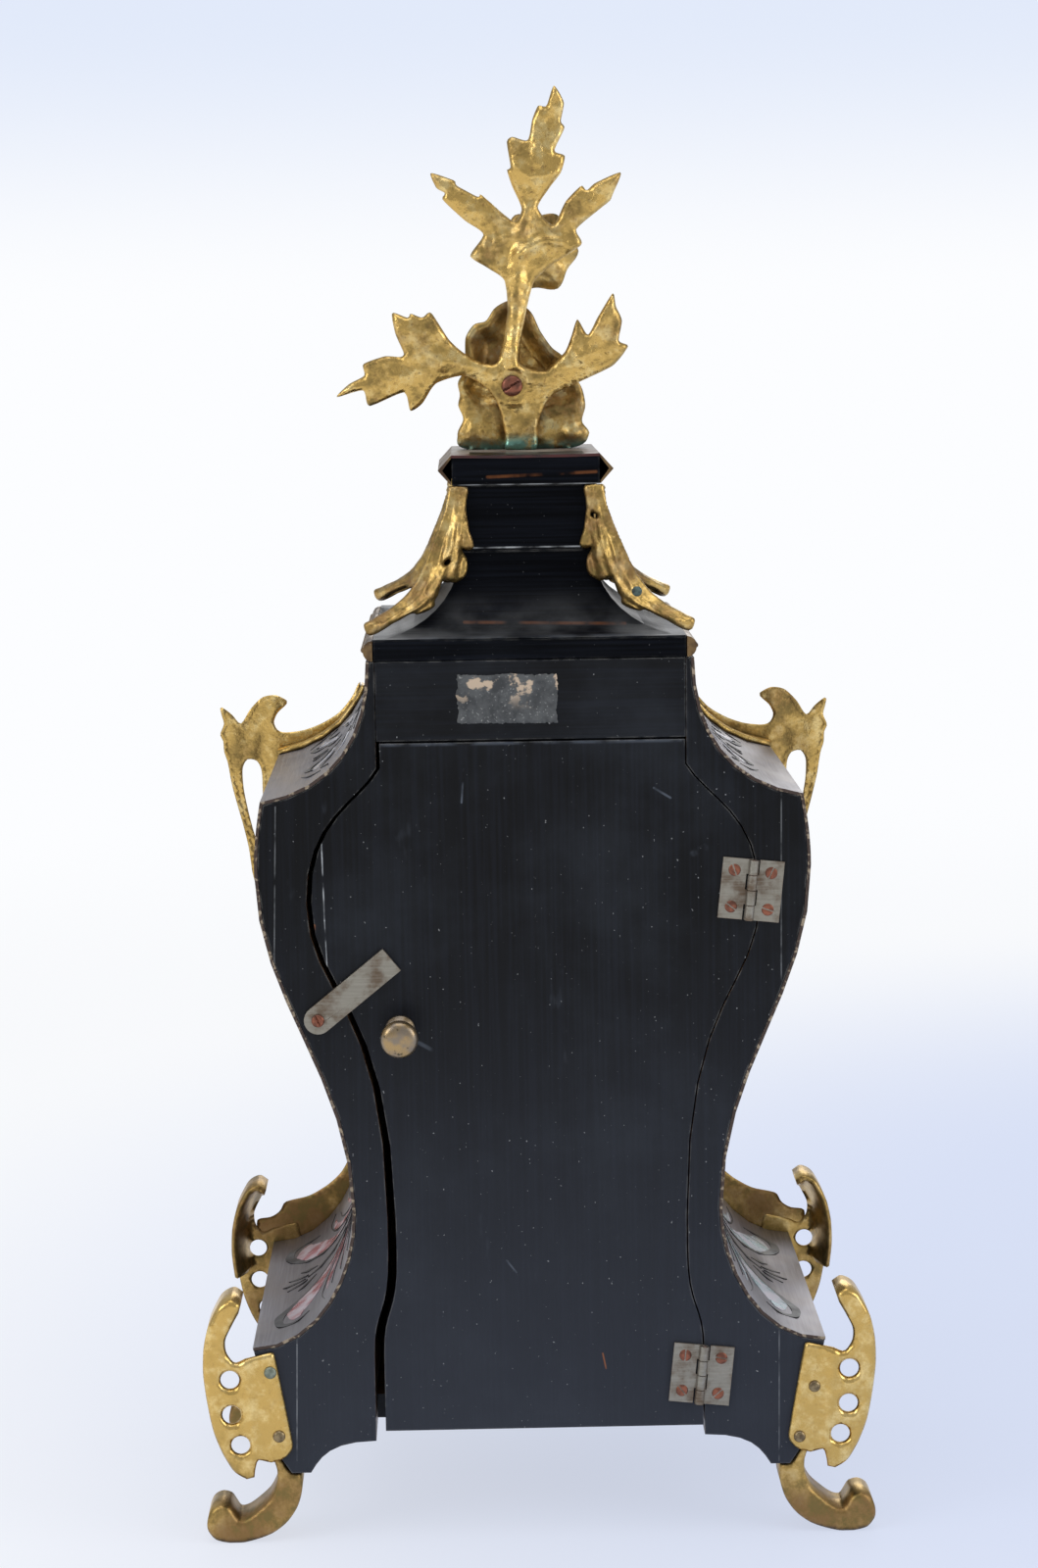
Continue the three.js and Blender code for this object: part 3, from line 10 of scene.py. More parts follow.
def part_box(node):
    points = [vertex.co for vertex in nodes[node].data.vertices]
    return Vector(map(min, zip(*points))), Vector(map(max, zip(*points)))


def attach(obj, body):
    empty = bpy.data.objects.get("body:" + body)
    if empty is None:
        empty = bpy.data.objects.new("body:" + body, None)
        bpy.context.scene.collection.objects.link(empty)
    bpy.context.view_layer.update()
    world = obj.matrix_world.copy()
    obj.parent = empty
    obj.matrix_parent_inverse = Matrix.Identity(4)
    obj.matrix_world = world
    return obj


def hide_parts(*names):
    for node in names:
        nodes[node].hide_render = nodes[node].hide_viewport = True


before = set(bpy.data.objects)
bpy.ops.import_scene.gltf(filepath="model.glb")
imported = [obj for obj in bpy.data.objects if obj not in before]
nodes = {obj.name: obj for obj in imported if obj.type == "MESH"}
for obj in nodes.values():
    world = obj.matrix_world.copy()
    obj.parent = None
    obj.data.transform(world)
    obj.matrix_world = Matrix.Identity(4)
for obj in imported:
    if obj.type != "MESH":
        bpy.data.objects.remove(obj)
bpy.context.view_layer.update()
MM = 0.001


# ---- The table and the light.
# The clock stands on a pale sheet in the even light of large soft boxes. The sheet is
# painted with shade, darker and bluer about one spot and white further off. It also glows
# with its own colour for camera and glossy rays, which lightens the shadow on it. The
# camera stands behind the clock and a little above it.
def srgb(red, green, blue):
    def straight(value):
        share = value / 255
        return share / 12.92 if share <= 0.04045 else ((share + 0.055) / 1.055) ** 2.4
    return (straight(red), straight(green), straight(blue), 1)


def join(tree, value, socket):
    """Links a value to a socket, or sets it there where it is plain."""
    if isinstance(value, bpy.types.NodeSocket):
        tree.links.new(value, socket)
    else:
        socket.default_value = value


def put(tree, kind, inputs=None, **choices):
    """Adds one shader node, feeds its inputs, and gives back its outputs."""
    made = tree.nodes.new("ShaderNode" + kind)
    for key, value in choices.items():
        setattr(made, key, value)
    for key, value in (inputs or {}).items():
        join(tree, value, made.inputs[key])
    return made.outputs


def maths(tree, operation, first, second):
    return put(tree, "Math", {0: first, 1: second}, operation=operation)[0]


def times(tree, first, second):
    return maths(tree, "MULTIPLY", first, second)


def vectors(tree, operation, first, second, give=0):
    return put(tree, "VectorMath", {0: first, 1: second}, operation=operation)[give]


def mask(tree, value, low, high, least=0.0):
    """A soft step from low to high."""
    return put(tree, "MapRange", {"Value": value, "From Min": low, "From Max": high,
                                  "To Min": least}, interpolation_type="SMOOTHSTEP")[0]


def layer(tree, factor, under, over):
    """One colour laid over another through a mask. Sockets 6 and 7 are the two colours."""
    return put(tree, "Mix", {0: factor, 6: under, 7: over}, data_type="RGBA")[2]


def blank(name):
    material = bpy.data.materials.new(name)
    material.use_nodes = True
    material.node_tree.nodes.clear()
    return material, material.node_tree


def mesh_piece(name, points, faces, material, smooth=True):
    """A mesh in millimetres, closed and turned outwards."""
    data = bpy.data.meshes.new(name)
    shell = bmesh.new()
    corners = [shell.verts.new((x * MM, y * MM, z * MM)) for x, y, z in points]
    for face in faces:
        if len(set(face)) > 2:
            shell.faces.new([corners[i] for i in face])
    bmesh.ops.remove_doubles(shell, verts=shell.verts, dist=1e-6)
    bmesh.ops.recalc_face_normals(shell, faces=shell.faces)
    shell.to_mesh(data)
    shell.free()
    for face in data.polygons:
        face.use_smooth = smooth
    data.materials.append(material)
    made = bpy.data.objects.new(name, data)
    bpy.context.scene.collection.objects.link(made)
    return made


# Painted shade on the sheet: its colour is darker and bluer about one spot, white further off.
SHEET_SHADED = srgb(219, 227, 248)
SHEET_FAR = srgb(252, 253, 255)
SHEET_SHADE_MIDDLE = (-0.45, -0.15, 0)  # where the sheet is darkest
SHEET_REACH, SHEET_SIDES = 9000, 48
# Painted light: camera and glossy rays see the sheet glow with its own colour. Three quarters of
# the glow shows within 0.8 m of the shade's middle and all of it beyond 1.5 m, which lightens the
# shadow.
SHADOW_FILL = 0.75  # share of the sheet's own paleness that a shadow leaves
SKY_TOP = srgb(226, 234, 250)
SKY_FILL = (0.93, 0.96, 1, 1)

sheet_look, tree = blank("pale sheet")
spread = vectors(tree, "DISTANCE", put(tree, "TexCoord")["Object"], SHEET_SHADE_MIDDLE, "Value")
tone = layer(tree, mask(tree, spread, 0.3, 0.85), SHEET_SHADED, SHEET_FAR)
matt = put(tree, "BsdfDiffuse", {"Color": tone})
# The sheet's painted glow, which lightens the shadow on it.
plain = put(tree, "Emission", {"Color": tone, "Strength": 1.0})
rays = put(tree, "LightPath")
seen = maths(tree, "MAXIMUM", rays["Is Camera Ray"], rays["Is Glossy Ray"])
share = times(tree, seen, mask(tree, spread, 0.8, 1.5, SHADOW_FILL))
both = put(tree, "MixShader", {0: share, 1: matt[0], 2: plain[0]})
put(tree, "OutputMaterial", {"Surface": both[0]})
turns = [2 * i * pi / SHEET_SIDES for i in range(SHEET_SIDES)]
ring = [(SHEET_REACH * cos(turn), SHEET_REACH * sin(turn), 0) for turn in turns]
sheet = mesh_piece("table_sheet", ring, [list(range(SHEET_SIDES))], sheet_look, smooth=False)

sky = bpy.data.worlds.new("soft room")
bpy.context.scene.world = sky
sky.use_nodes = True
tree = sky.node_tree
tree.nodes.clear()
lift = put(tree, "SeparateXYZ", {0: put(tree, "TexCoord")["Generated"]})["Z"]
blue = layer(tree, mask(tree, lift, 0.0, 0.09), SHEET_FAR, SKY_TOP)
shown = put(tree, "Background", {"Color": blue, "Strength": 1.0})
fill = put(tree, "Background", {"Color": SKY_FILL, "Strength": 0.5})
rays = put(tree, "LightPath")
seen = maths(tree, "MAXIMUM", rays["Is Camera Ray"], rays["Is Transmission Ray"])
both = put(tree, "MixShader", {0: seen, 1: fill[0], 2: shown[0]})
put(tree, "OutputWorld", {"Surface": both[0]})

MIDDLE = Vector((0, 0, 0.2))
SOFT_BOXES = {  # where each box stands, how wide it is, and its power
    "left_box": ((1.5, 0.9, 1.1), 1.0, 9),
    "right_box": ((-1.5, 0.7, 0.8), 1.0, 8),
    "top_box": ((0.1, 0.2, 1.9), 1.3, 8),
    "front_box": ((-0.3, -1.9, 0.9), 1.2, 7),
}
for name, (spot, side, power) in SOFT_BOXES.items():
    lamp = bpy.data.lights.new(name, "AREA")
    lamp.shape = "SQUARE"
    lamp.size = side
    lamp.energy = power
    holder = bpy.data.objects.new(name, lamp)
    bpy.context.scene.collection.objects.link(holder)
    holder.location = spot
    holder.rotation_euler = (MIDDLE - Vector(spot)).to_track_quat("-Z", "Y").to_euler()

EYE_SPOT = (0.0199, 1.07725, 0.3903)
EYE_TURN, EYE_DIP, EYE_ROLL = 179.1, 8.19, -0.84
EYE_LENS, EYE_FILM = 115.24, 36
eye = bpy.data.cameras.new("eye")
eye.sensor_fit = "HORIZONTAL"
eye.sensor_width = EYE_FILM
eye.lens = EYE_LENS
camera = bpy.data.objects.new("eye", eye)
bpy.context.scene.collection.objects.link(camera)
camera.matrix_world = (Matrix.Translation(EYE_SPOT) @ Matrix.Rotation(radians(EYE_TURN), 4, "Z")
                       @ Matrix.Rotation(radians(90 - EYE_DIP), 4, "X")
                       @ Matrix.Rotation(radians(EYE_ROLL), 4, "Z"))
bpy.context.scene.camera = camera
bpy.context.scene.view_settings.view_transform = "Standard"


# ---- The case: sides, front panel, rail, roof board and floor board.
# Softwood stained black and polished, with the brush marks of the polish along the grain,
# glue joints that have opened, and pale edges that are partly rubbed and partly a painted
# highlight. A painted reflection makes the lower case paler, and there is dust in the corners.
def effect(name, inputs, outputs=(("Mask", "Float"),)):
    """A shader group with named inputs and outputs, built once and placed where it is needed."""
    group = bpy.data.node_groups.new(name, "ShaderNodeTree")
    for label, value in inputs.items():
        kind = "NodeSocketVector" if isinstance(value, tuple) else "NodeSocketFloat"
        socket = group.interface.new_socket(label, in_out="INPUT", socket_type=kind)
        socket.default_value = value
    for label, kind in outputs:
        group.interface.new_socket(label, in_out="OUTPUT", socket_type="NodeSocket" + kind)
    fed, given = group.nodes.new("NodeGroupInput"), group.nodes.new("NodeGroupOutput")
    return group, fed.outputs, given.inputs


def use(tree, group, **inputs):
    """Places a group in a material and gives back its outputs."""
    placed = tree.nodes.new("ShaderNodeGroup")
    placed.node_tree = group
    for key, value in inputs.items():
        join(tree, value, placed.inputs[key.replace("_", " ")])
    return placed.outputs


def on_piece(tree):
    """The place on the piece itself, in metres."""
    return put(tree, "TexCoord")["Object"]


def part_of(tree, vector, axis):
    return put(tree, "SeparateXYZ", {0: vector})[axis]


def facing(tree, axis):
    """How much the surface faces along an axis."""
    return part_of(tree, put(tree, "NewGeometry")["Normal"], axis)


def between(tree, value, to_low, to_high, low=0.0, high=1.0):
    """An even run from one number to another."""
    return put(tree, "MapRange", {"Value": value, "From Min": low, "From Max": high,
                                  "To Min": to_low, "To Max": to_high})[0]


def mottle(tree, spot, scale, detail=2.0, rough=0.5):
    return put(tree, "TexNoise", {"Vector": spot, "Scale": scale, "Detail": detail,
                                  "Roughness": rough})["Fac"]


def speckle(tree, scale, detail=2.0, stretch=(1, 1, 1), rough=0.5, shift=(0, 0, 0)):
    """Noise on the piece itself, drawn out along one way by stretch."""
    laid = put(tree, "Mapping", {"Vector": on_piece(tree), "Scale": stretch, "Location": shift})[0]
    return mottle(tree, laid, scale, detail, rough)


def relief(tree, height, strength, deep):
    return put(tree, "Bump", {"Strength": strength, "Distance": deep, "Height": height})[0]


def surface(tree, colour, **sockets):
    """The piece's own shader, with its colour and whatever else is set on it."""
    others = {key.replace("_", " "): value for key, value in sockets.items()}
    body = put(tree, "BsdfPrincipled", {"Base Color": colour, **others})
    put(tree, "OutputMaterial", {"Surface": body[0]})


# Brush marks along one way: Along is small in the way the brush went.
brush_marks, feed, out = effect("brush marks", {"Along": (1, 1, 0.02), "Fineness": 900})
laid = vectors(brush_marks, "MULTIPLY", on_piece(brush_marks), feed["Along"])
fine = mottle(brush_marks, laid, feed["Fineness"], 3.0)
join(brush_marks, mask(brush_marks, fine, 0.35, 0.75), out["Mask"])

# Sharp edges: where the surface turns sharply, broken up by noise. On the gilt and the nickel
# this marks rubbed wear. On the black wood it marks wear together with a painted highlight.
sharp_edge, feed, out = effect("sharp edge", {"Width": 0.0008, "Breakup": 260})
round_way = put(sharp_edge, "Bevel", {"Radius": feed["Width"]}, samples=4)[0]
flat_way = put(sharp_edge, "NewGeometry")["Normal"]
turn = vectors(sharp_edge, "DOT_PRODUCT", round_way, flat_way, "Value")
broken = mottle(sharp_edge, on_piece(sharp_edge), feed["Breakup"], 3.0)
worn = times(sharp_edge, between(sharp_edge, turn, 0, 1, 0.97, 0.75),
             mask(sharp_edge, broken, 0.38, 0.62))
join(sharp_edge, worn, out["Mask"])

# Dust: specks all over and a film on whatever faces up.
settled_dust, feed, out = effect("settled dust", {"Amount": 0.5, "Size": 900})
spot = on_piece(settled_dust)
speck = mask(settled_dust, mottle(settled_dust, spot, feed["Size"], 1.0), 0.76, 0.82)
film = times(settled_dust, mask(settled_dust, facing(settled_dust, "Z"), 0.5, 1.0),
             mask(settled_dust, mottle(settled_dust, spot, 60.0, 4.0), 0.3, 0.8))
total = maths(settled_dust, "MAXIMUM", speck, film)
join(settled_dust, times(settled_dust, total, feed["Amount"]), out["Mask"])

# A scratch or an open joint: a thin line between two places on the back.
line_mark, feed, out = effect("line mark", {"From": (0, 0, 0), "To": (0, 0, 1), "Width": 0.0004,
                                            "Breakup": 120})
flat = vectors(line_mark, "MULTIPLY", on_piece(line_mark), (1, 0, 1))
reach = vectors(line_mark, "SUBTRACT", feed["To"], feed["From"])
here = vectors(line_mark, "SUBTRACT", flat, feed["From"])
along = vectors(line_mark, "DOT_PRODUCT", here, reach, "Value")
square = vectors(line_mark, "DOT_PRODUCT", reach, reach, "Value")
part = put(line_mark, "Math", {0: along, 1: square}, operation="DIVIDE", use_clamp=True)[0]
foot = put(line_mark, "VectorMath", {0: reach, "Scale": part}, operation="SCALE")[0]
apart = vectors(line_mark, "DISTANCE", here, foot, "Value")
near = mask(line_mark, maths(line_mark, "DIVIDE", apart, feed["Width"]), 1.0, 0.3)
broken = mask(line_mark, mottle(line_mark, flat, feed["Breakup"], 3.0), 0.36, 0.6)
join(line_mark, times(line_mark, near, broken), out["Mask"])

BLACK_DEEP = srgb(10, 11, 14)
BLACK_WORN = srgb(24, 27, 35)
HAZE = srgb(84, 90, 100)
LOW_REFLECTION = srgb(62, 66, 76)  # the paler look of the lower case
EDGE_WEAR_AND_HIGHLIGHT = srgb(148, 146, 142)
DUST = srgb(186, 188, 190)
BARE_WOOD = srgb(158, 98, 60)
CHALK = srgb(196, 200, 204)
RAW_WOOD = srgb(122, 92, 64)
RAW_WOOD_DARK = srgb(84, 60, 42)
UPRIGHT_GRAIN, LEVEL_GRAIN = (1, 1, 0.02), (0.02, 1, 1)
SIDES = (("left", 1), ("right", -1))


def ebonised(name, along=UPRIGHT_GRAIN, marks=(), haze=1.0, sheen=0.14, dusty=0.55, bare_way=None):
    """Black polish on wood. A mark is a start, an end, a width, a colour and how much shows.
    bare_way is the way that an unpolished inner face looks."""
    material, tree = blank(name)
    streak = use(tree, brush_marks, Along=along, Fineness=950.0)["Mask"]
    patch = mask(tree, speckle(tree, 16, 5.0, rough=0.62), 0.42, 0.78)
    colour = layer(tree, times(tree, streak, 0.55), BLACK_DEEP, BLACK_WORN)
    # Painted reflection: the lower case is painted paler towards the bottom, for the pale sheet it
    # reflects.
    low = mask(tree, part_of(tree, on_piece(tree), "Z"), 0.22, 0.02)
    colour = layer(tree, times(tree, low, 0.62), colour, LOW_REFLECTION)
    colour = layer(tree, times(tree, patch, 0.16 * haze), colour, HAZE)
    wisp = mask(tree, speckle(tree, 70, 4.0, (1, 1, 0.35), 0.7), 0.66, 0.8)
    colour = layer(tree, times(tree, wisp, 0.28 * haze), colour, HAZE)
    for (x1, z1), (x2, z2), width, tint, strength in marks:
        scratch = use(tree, line_mark, From=(x1 * MM, 0, z1 * MM), To=(x2 * MM, 0, z2 * MM),
                      Width=width * MM, Breakup=120)["Mask"]
        colour = layer(tree, times(tree, scratch, strength), colour, tint)
    colour = layer(tree, use(tree, settled_dust, Amount=dusty, Size=1100.0)["Mask"], colour, DUST)
    # Painted highlight with wear: the sharp edges are painted pale, partly rubbed and partly lit.
    worn = use(tree, sharp_edge, Width=0.9 * MM, Breakup=240.0)["Mask"]
    colour = layer(tree, times(tree, worn, 0.4), colour, EDGE_WEAR_AND_HIGHLIGHT)
    if bare_way:
        inner = vectors(tree, "DOT_PRODUCT", put(tree, "TexCoord")["Normal"], bare_way, "Value")
        grain = layer(tree, streak, RAW_WOOD, RAW_WOOD_DARK)
        grain = layer(tree, times(tree, patch, 0.4), grain, BLACK_WORN)
        colour = layer(tree, mask(tree, inner, 0.7, 0.9), colour, grain)
    surface(tree, colour, Roughness=between(tree, patch, 0.3, 0.52),
            Normal=relief(tree, streak, 0.25, 0.00012), Specular_IOR_Level=sheen)
    return material


def dress(material, *names, eased=0.3, angle=32):
    """Gives solids of the frame their finish and takes the sharpness off their edges."""
    for name in names:
        piece = nodes[name]
        piece.data.materials.clear()
        piece.data.materials.append(material)
        sharp_way = piece.data.attributes.get("custom_normal")
        if sharp_way:
            piece.data.attributes.remove(sharp_way)
        for face in piece.data.polygons:
            face.use_smooth = True
        seam = piece.modifiers.new("seams closed", "WELD")
        seam.merge_threshold = 2e-6
        edge = piece.modifiers.new("edges eased", "BEVEL")
        edge.width = eased * MM
        edge.segments = 2
        edge.limit_method = "ANGLE"
        edge.angle_limit = radians(angle)
        edge.harden_normals = True


SIDE_JOINTS = {  # where the glue joints of each side have opened
    "left": [((79.4, 238), (81.9, 158), 0.3, CHALK, 0.22),
             ((76.6, 74.5), (77.7, 27.7), 0.3, CHALK, 0.3)],
    "right": [((-77.3, 240), (-77.1, 177), 0.3, CHALK, 0.22),
              ((-76.1, 71.4), (-75.9, 24.5), 0.3, CHALK, 0.22)],
}
for side, left_right in SIDES:
    look = ebonised("ebonised_side_" + side, marks=SIDE_JOINTS[side], bare_way=(-left_right, 0, 0))
    dress(look, "side_" + side, eased=0.35)
dress(ebonised("ebonised_front", bare_way=(0, 1, 0)), "front_panel", eased=0.4)
dress(ebonised("ebonised_rail", LEVEL_GRAIN), "top_rail", eased=0.25)
for name, inner_way in (("roof_board", (0, 0, -1)), ("floor_board", (0, 0, 1))):
    dress(ebonised("unpolished_" + name, LEVEL_GRAIN, haze=1.4, bare_way=inner_way), name)


# ---- The back door.
# A shaped board of the same black wood with the grain upright. It has a long crack near the
# latch edge, a chip that shows the bare wood, and scratches from years of handling.
DOOR_MARKS = [
    ((65.4, 226.2), (65.0, 202), 0.3, CHALK, 0.75), ((65.0, 202), (64.3, 180.1), 0.25, CHALK, 0.6),
    ((68.5, 200.4), (68.2, 191.1), 0.9, BARE_WOOD, 1.0),
    ((67.6, 189), (63.4, 176), 0.45, BARE_WOOD, 0.7),
    ((21.0, 248.8), (21.8, 238.4), 0.45, HAZE, 1.0),
    ((-37.8, 242.0), (-42.9, 238.8), 0.5, HAZE, 0.9), ((48, 257), (-46, 257), 1.1, HAZE, 0.6),
    ((44.7, 167.5), (32.6, 160.5), 0.9, HAZE, 0.6), ((-53.4, 223), (-50, 221.4), 1.5, HAZE, 0.8),
    ((10, 92), (7, 88), 0.4, HAZE, 0.9), ((-20, 61), (-21, 56), 0.35, BARE_WOOD, 0.7)]
dress(ebonised("ebonised_door", bare_way=(0, -1, 0), marks=DOOR_MARKS), "rear_door", eased=0.8)


# ---- The caddy top.
# A plate, a cove, a neck and a cap of the same black wood, glued up in layers whose joints
# have opened. The cap keeps a thin skin of dark red polish and a dusty upper face.
def wrap(start, rows, sides):
    """Four-cornered faces round a piece, from each ring of corners to the next."""
    steps = [(start + i * sides + k, start + i * sides + (k + 1) % sides)
             for i in range(rows) for k in range(sides)]
    return [(a, b, b + sides, a + sides) for a, b in steps]


CADDY_MARKS = [
    ((24, 315.2), (-24, 315.2), 0.35, CHALK, 0.9), ((24, 335), (-24, 335), 0.3, CHALK, 0.5),
    ((12, 337.4), (-22, 338.6), 0.7, BARE_WOOD, 0.35), ((49, 289.2), (-49, 289.2), 0.5, HAZE, 0.3),
    ((20, 293), (-30, 292), 0.6, BARE_WOOD, 0.25)]
caddy_look = ebonised("ebonised_caddy", LEVEL_GRAIN, haze=0.3, sheen=0.02, dusty=0.14,
                      marks=CADDY_MARKS)
dress(caddy_look, "caddy_plate", eased=0.5, angle=40)
dress(caddy_look, "caddy_cove", "caddy_neck", eased=0.15, angle=40)
dress(caddy_look, "caddy_cap", eased=0.35, angle=40)

RED_SKIN, RED_DARK, SKIN_DUST = srgb(74, 26, 24), srgb(38, 18, 18), srgb(136, 128, 120)
SKIN_SIDES = 28
SKIN_LOW, SKIN_THICK, SKIN_PROUD, SKIN_SAG = 0.75, 0.85, 0.1, 0.3
cap_skin, tree = blank("red_skin")
tint = layer(tree, mask(tree, speckle(tree, 140, 4.0), 0.4, 0.7), RED_SKIN, RED_DARK)
upward = mask(tree, facing(tree, "Z"), 0.5, 0.9)
dusty = times(tree, upward, mask(tree, speckle(tree, 90, 5.0), 0.25, 0.6))
surface(tree, layer(tree, dusty, tint, SKIN_DUST), Roughness=0.5)
_, cap_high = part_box("caddy_cap")
half_x, half_y = cap_high.x / MM + SKIN_PROUD, cap_high.y / MM + SKIN_PROUD
skin_points = []
for level in (0, 1):
    for i in range(SKIN_SIDES):
        way = 2 * pi * (i + 0.5) / SKIN_SIDES
        square = max(abs(cos(way)), abs(sin(way)))
        x, y = half_x * cos(way) / square, half_y * sin(way) / square
        sag = SKIN_SAG * (1 - (x / half_x) ** 2) if y > 0 else 0
        skin_points.append((x, y, cap_high.z / MM - SKIN_LOW + SKIN_THICK * level - sag))
skin_ends = [tuple(range(SKIN_SIDES))[::-1], tuple(range(SKIN_SIDES, 2 * SKIN_SIDES))]
skin_faces = wrap(0, 1, SKIN_SIDES) + skin_ends
skin = mesh_piece("cap_red_skin", skin_points, skin_faces, cap_skin, smooth=False)
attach(skin, "case")


# ---- Gilt bronze: the finish of every cast mount.
# Cast in sand, gilded and gone dull: bright where hands rub it, brown and olive in patches,
# with pits from the sand and a green bloom in places. Painted shade darkens the recesses.
GILT = srgb(210, 174, 100)
GILT_PALE = srgb(240, 212, 146)
TARNISH = srgb(132, 98, 64)
OLIVE = srgb(134, 114, 68)
RECESS_SHADE = srgb(48, 36, 22)
RIM = srgb(96, 68, 50)
VERDIGRIS = srgb(116, 158, 144)
cast_gilt, feed, out = effect(
    "cast gilt",
    {"Tarnish": 0.5, "Green": 0.1, "Pit Size": 900, "Patch Size": 75, "Pits": 0.5, "Hollows": 0.8},
    (("Color", "Color"), ("Roughness", "Float"), ("Height", "Float")))
spot = on_piece(cast_gilt)
broad = mottle(cast_gilt, spot, feed["Patch Size"], 5.0, 0.6)
fine = mottle(cast_gilt, spot, feed["Pit Size"], 3.0)
cloud = mottle(cast_gilt, spot, 190.0, 4.0, 0.7)
dull = maths(cast_gilt, "ADD", broad, feed["Tarnish"])
# Painted shade: the recesses are darkened with ambient occlusion, towards a near-black brown.
ambient_shade = put(cast_gilt, "AmbientOcclusion", {"Distance": 0.005}, samples=6)["AO"]
brown = times(cast_gilt, mask(cast_gilt, dull, 0.88, 1.2), 0.85)
olive = times(cast_gilt, mask(cast_gilt, cloud, 0.56, 0.36), mask(cast_gilt, dull, 0.8, 1.1))
deep = times(cast_gilt, mask(cast_gilt, ambient_shade, 0.72, 0.2), feed["Hollows"])
pitted = times(cast_gilt, mask(cast_gilt, fine, 0.40, 0.30), feed["Pits"])
bloom = times(cast_gilt, mask(cast_gilt, cloud, 0.5, 0.62), feed["Green"])
tint = layer(cast_gilt, mask(cast_gilt, cloud, 0.45, 0.75), GILT, GILT_PALE)
for share, colour in ((brown, TARNISH), (olive, OLIVE), (deep, RECESS_SHADE), (pitted, TARNISH),
                      (bloom, VERDIGRIS)):
    tint = layer(cast_gilt, share, tint, colour)
join(cast_gilt, tint, out["Color"])
join(cast_gilt, between(cast_gilt, dull, 0.22, 0.46, 0.75, 1.2), out["Roughness"])
join(cast_gilt, maths(cast_gilt, "ADD", fine, cloud), out["Height"])


def gilt_bronze(name, tarnish=0.5, green=0.1, pit_size=900.0, green_below=None, patch_size=75.0,
                rim=0.0, pits=0.5, recess_shade=0.8):
    """green_below is a height in mm under which the piece has gone green."""
    material, tree = blank(name)
    cast = use(tree, cast_gilt, Tarnish=tarnish, Green=green, Pit_Size=pit_size,
               Patch_Size=patch_size, Pits=pits, Hollows=recess_shade)
    colour = cast["Color"]
    if rim:
        worn = use(tree, sharp_edge, Width=0.0009, Breakup=300.0)["Mask"]
        colour = layer(tree, times(tree, worn, rim), colour, RIM)
    if green_below:
        tall = part_of(tree, on_piece(tree), "Z")
        low = mask(tree, tall, green_below * MM, (green_below - 4) * MM)
        foot = times(tree, low, mask(tree, speckle(tree, 320, 4.0), 0.3, 0.55))
        colour = layer(tree, foot, colour, VERDIGRIS)
    surface(tree, colour, Metallic=0.92, Roughness=cast["Roughness"],
            Normal=relief(tree, cast["Height"], pits, 0.0003))
    return material


def soft_line(points, spacing, closed=True, soft=0.75):
    """Evenly spaced points on a rounded line through the given ones."""
    count = len(points)
    walked = []
    for i in range(count if closed else count - 1):
        near = [(i + k) % count if closed else min(max(i + k, 0), count - 1) for k in (-1, 0, 1, 2)]
        a, b, c, d = (np.array(points[k], float) for k in near)
        for step in range(8):
            t = step / 8
            bend = 0.5 * (2 * b + (c - a) * t + (2 * a - 5 * b + 4 * c - d) * t ** 2
                          + (3 * b - a - 3 * c + d) * t ** 3)
            walked.append(soft * bend + (1 - soft) * (b + (c - b) * t))
    walked.append(walked[0] if closed else np.array(points[-1], float))
    walked = np.array(walked)
    travel = np.concatenate([[0], np.cumsum(np.hypot(*np.diff(walked, axis=0).T))])
    places = np.linspace(0, travel[-1], max(int(travel[-1] / spacing), 6) + 1)
    even = np.stack([np.interp(places, travel, walked[:, k]) for k in (0, 1)], 1)
    return even[:-1] if closed else even


def to_line(points, path):
    """Distance of each point from a line, and how far along the line it is, from 0 to 1."""
    path = np.asarray(path, float)
    best = np.full(len(points), 1e9)
    share = np.zeros(len(points))
    for i in range(len(path) - 1):
        way = path[i + 1] - path[i]
        t = np.clip(((points - path[i]) @ way) / max(way @ way, 1e-9), 0, 1)
        apart = np.hypot(*(points - path[i] - t[:, None] * way).T)
        nearer = apart < best
        best[nearer] = apart[nearer]
        share[nearer] = (i + t[nearer]) / (len(path) - 1)
    return best, share


def within(points, rings):
    """Which points lie inside the outline and outside its holes."""
    odd = np.zeros(len(points), bool)
    for ring in rings:
        for (x1, y1), (x2, y2) in zip(ring, np.roll(ring, -1, 0)):
            if y1 != y2:
                crosses = (points[:, 1] > min(y1, y2)) & (points[:, 1] <= max(y1, y2))
                odd ^= crosses & (points[:, 0] < (x2 - x1) * (points[:, 1] - y1) / (y2 - y1) + x1)
    return odd


def rounded(distance, radius):
    """Height share of an edge rounded over a radius: 0 at the rim, 1 further in."""
    return np.sqrt(1 - (1 - np.clip(distance / radius, 0, 1)) ** 2)


def lumps(points, size, seed=0.0):
    """The unevenness of a casting: soft noise over a flat outline."""
    spots = ((x / size + seed, z / size - seed, seed) for x, z in points)
    return np.array([noise.noise(Vector(spot)) for spot in spots])


def hump(points, middle, reach):
    """A round swelling about a place: 1 at its middle."""
    return np.exp(-(np.hypot(*(points - middle).T) / reach) ** 2)


def ridge(points, path, wide, spacing=1.0):
    """A rib along a soft line: 1 on the line."""
    apart, _ = to_line(points, soft_line(path, spacing, closed=False))
    return np.exp(-(apart / wide) ** 2)


def laid_on(level, side=1, end=1):
    """Stands a flat outline upright at a level along Y, on one side and end of the clock."""
    def place(flat, height):
        return np.stack([side * flat[:, 0], end * (level + height), flat[:, 1]], 1)
    return place


ROW_STEP, RIM_CLEAR = 0.87, 0.55  # shares of the spacing


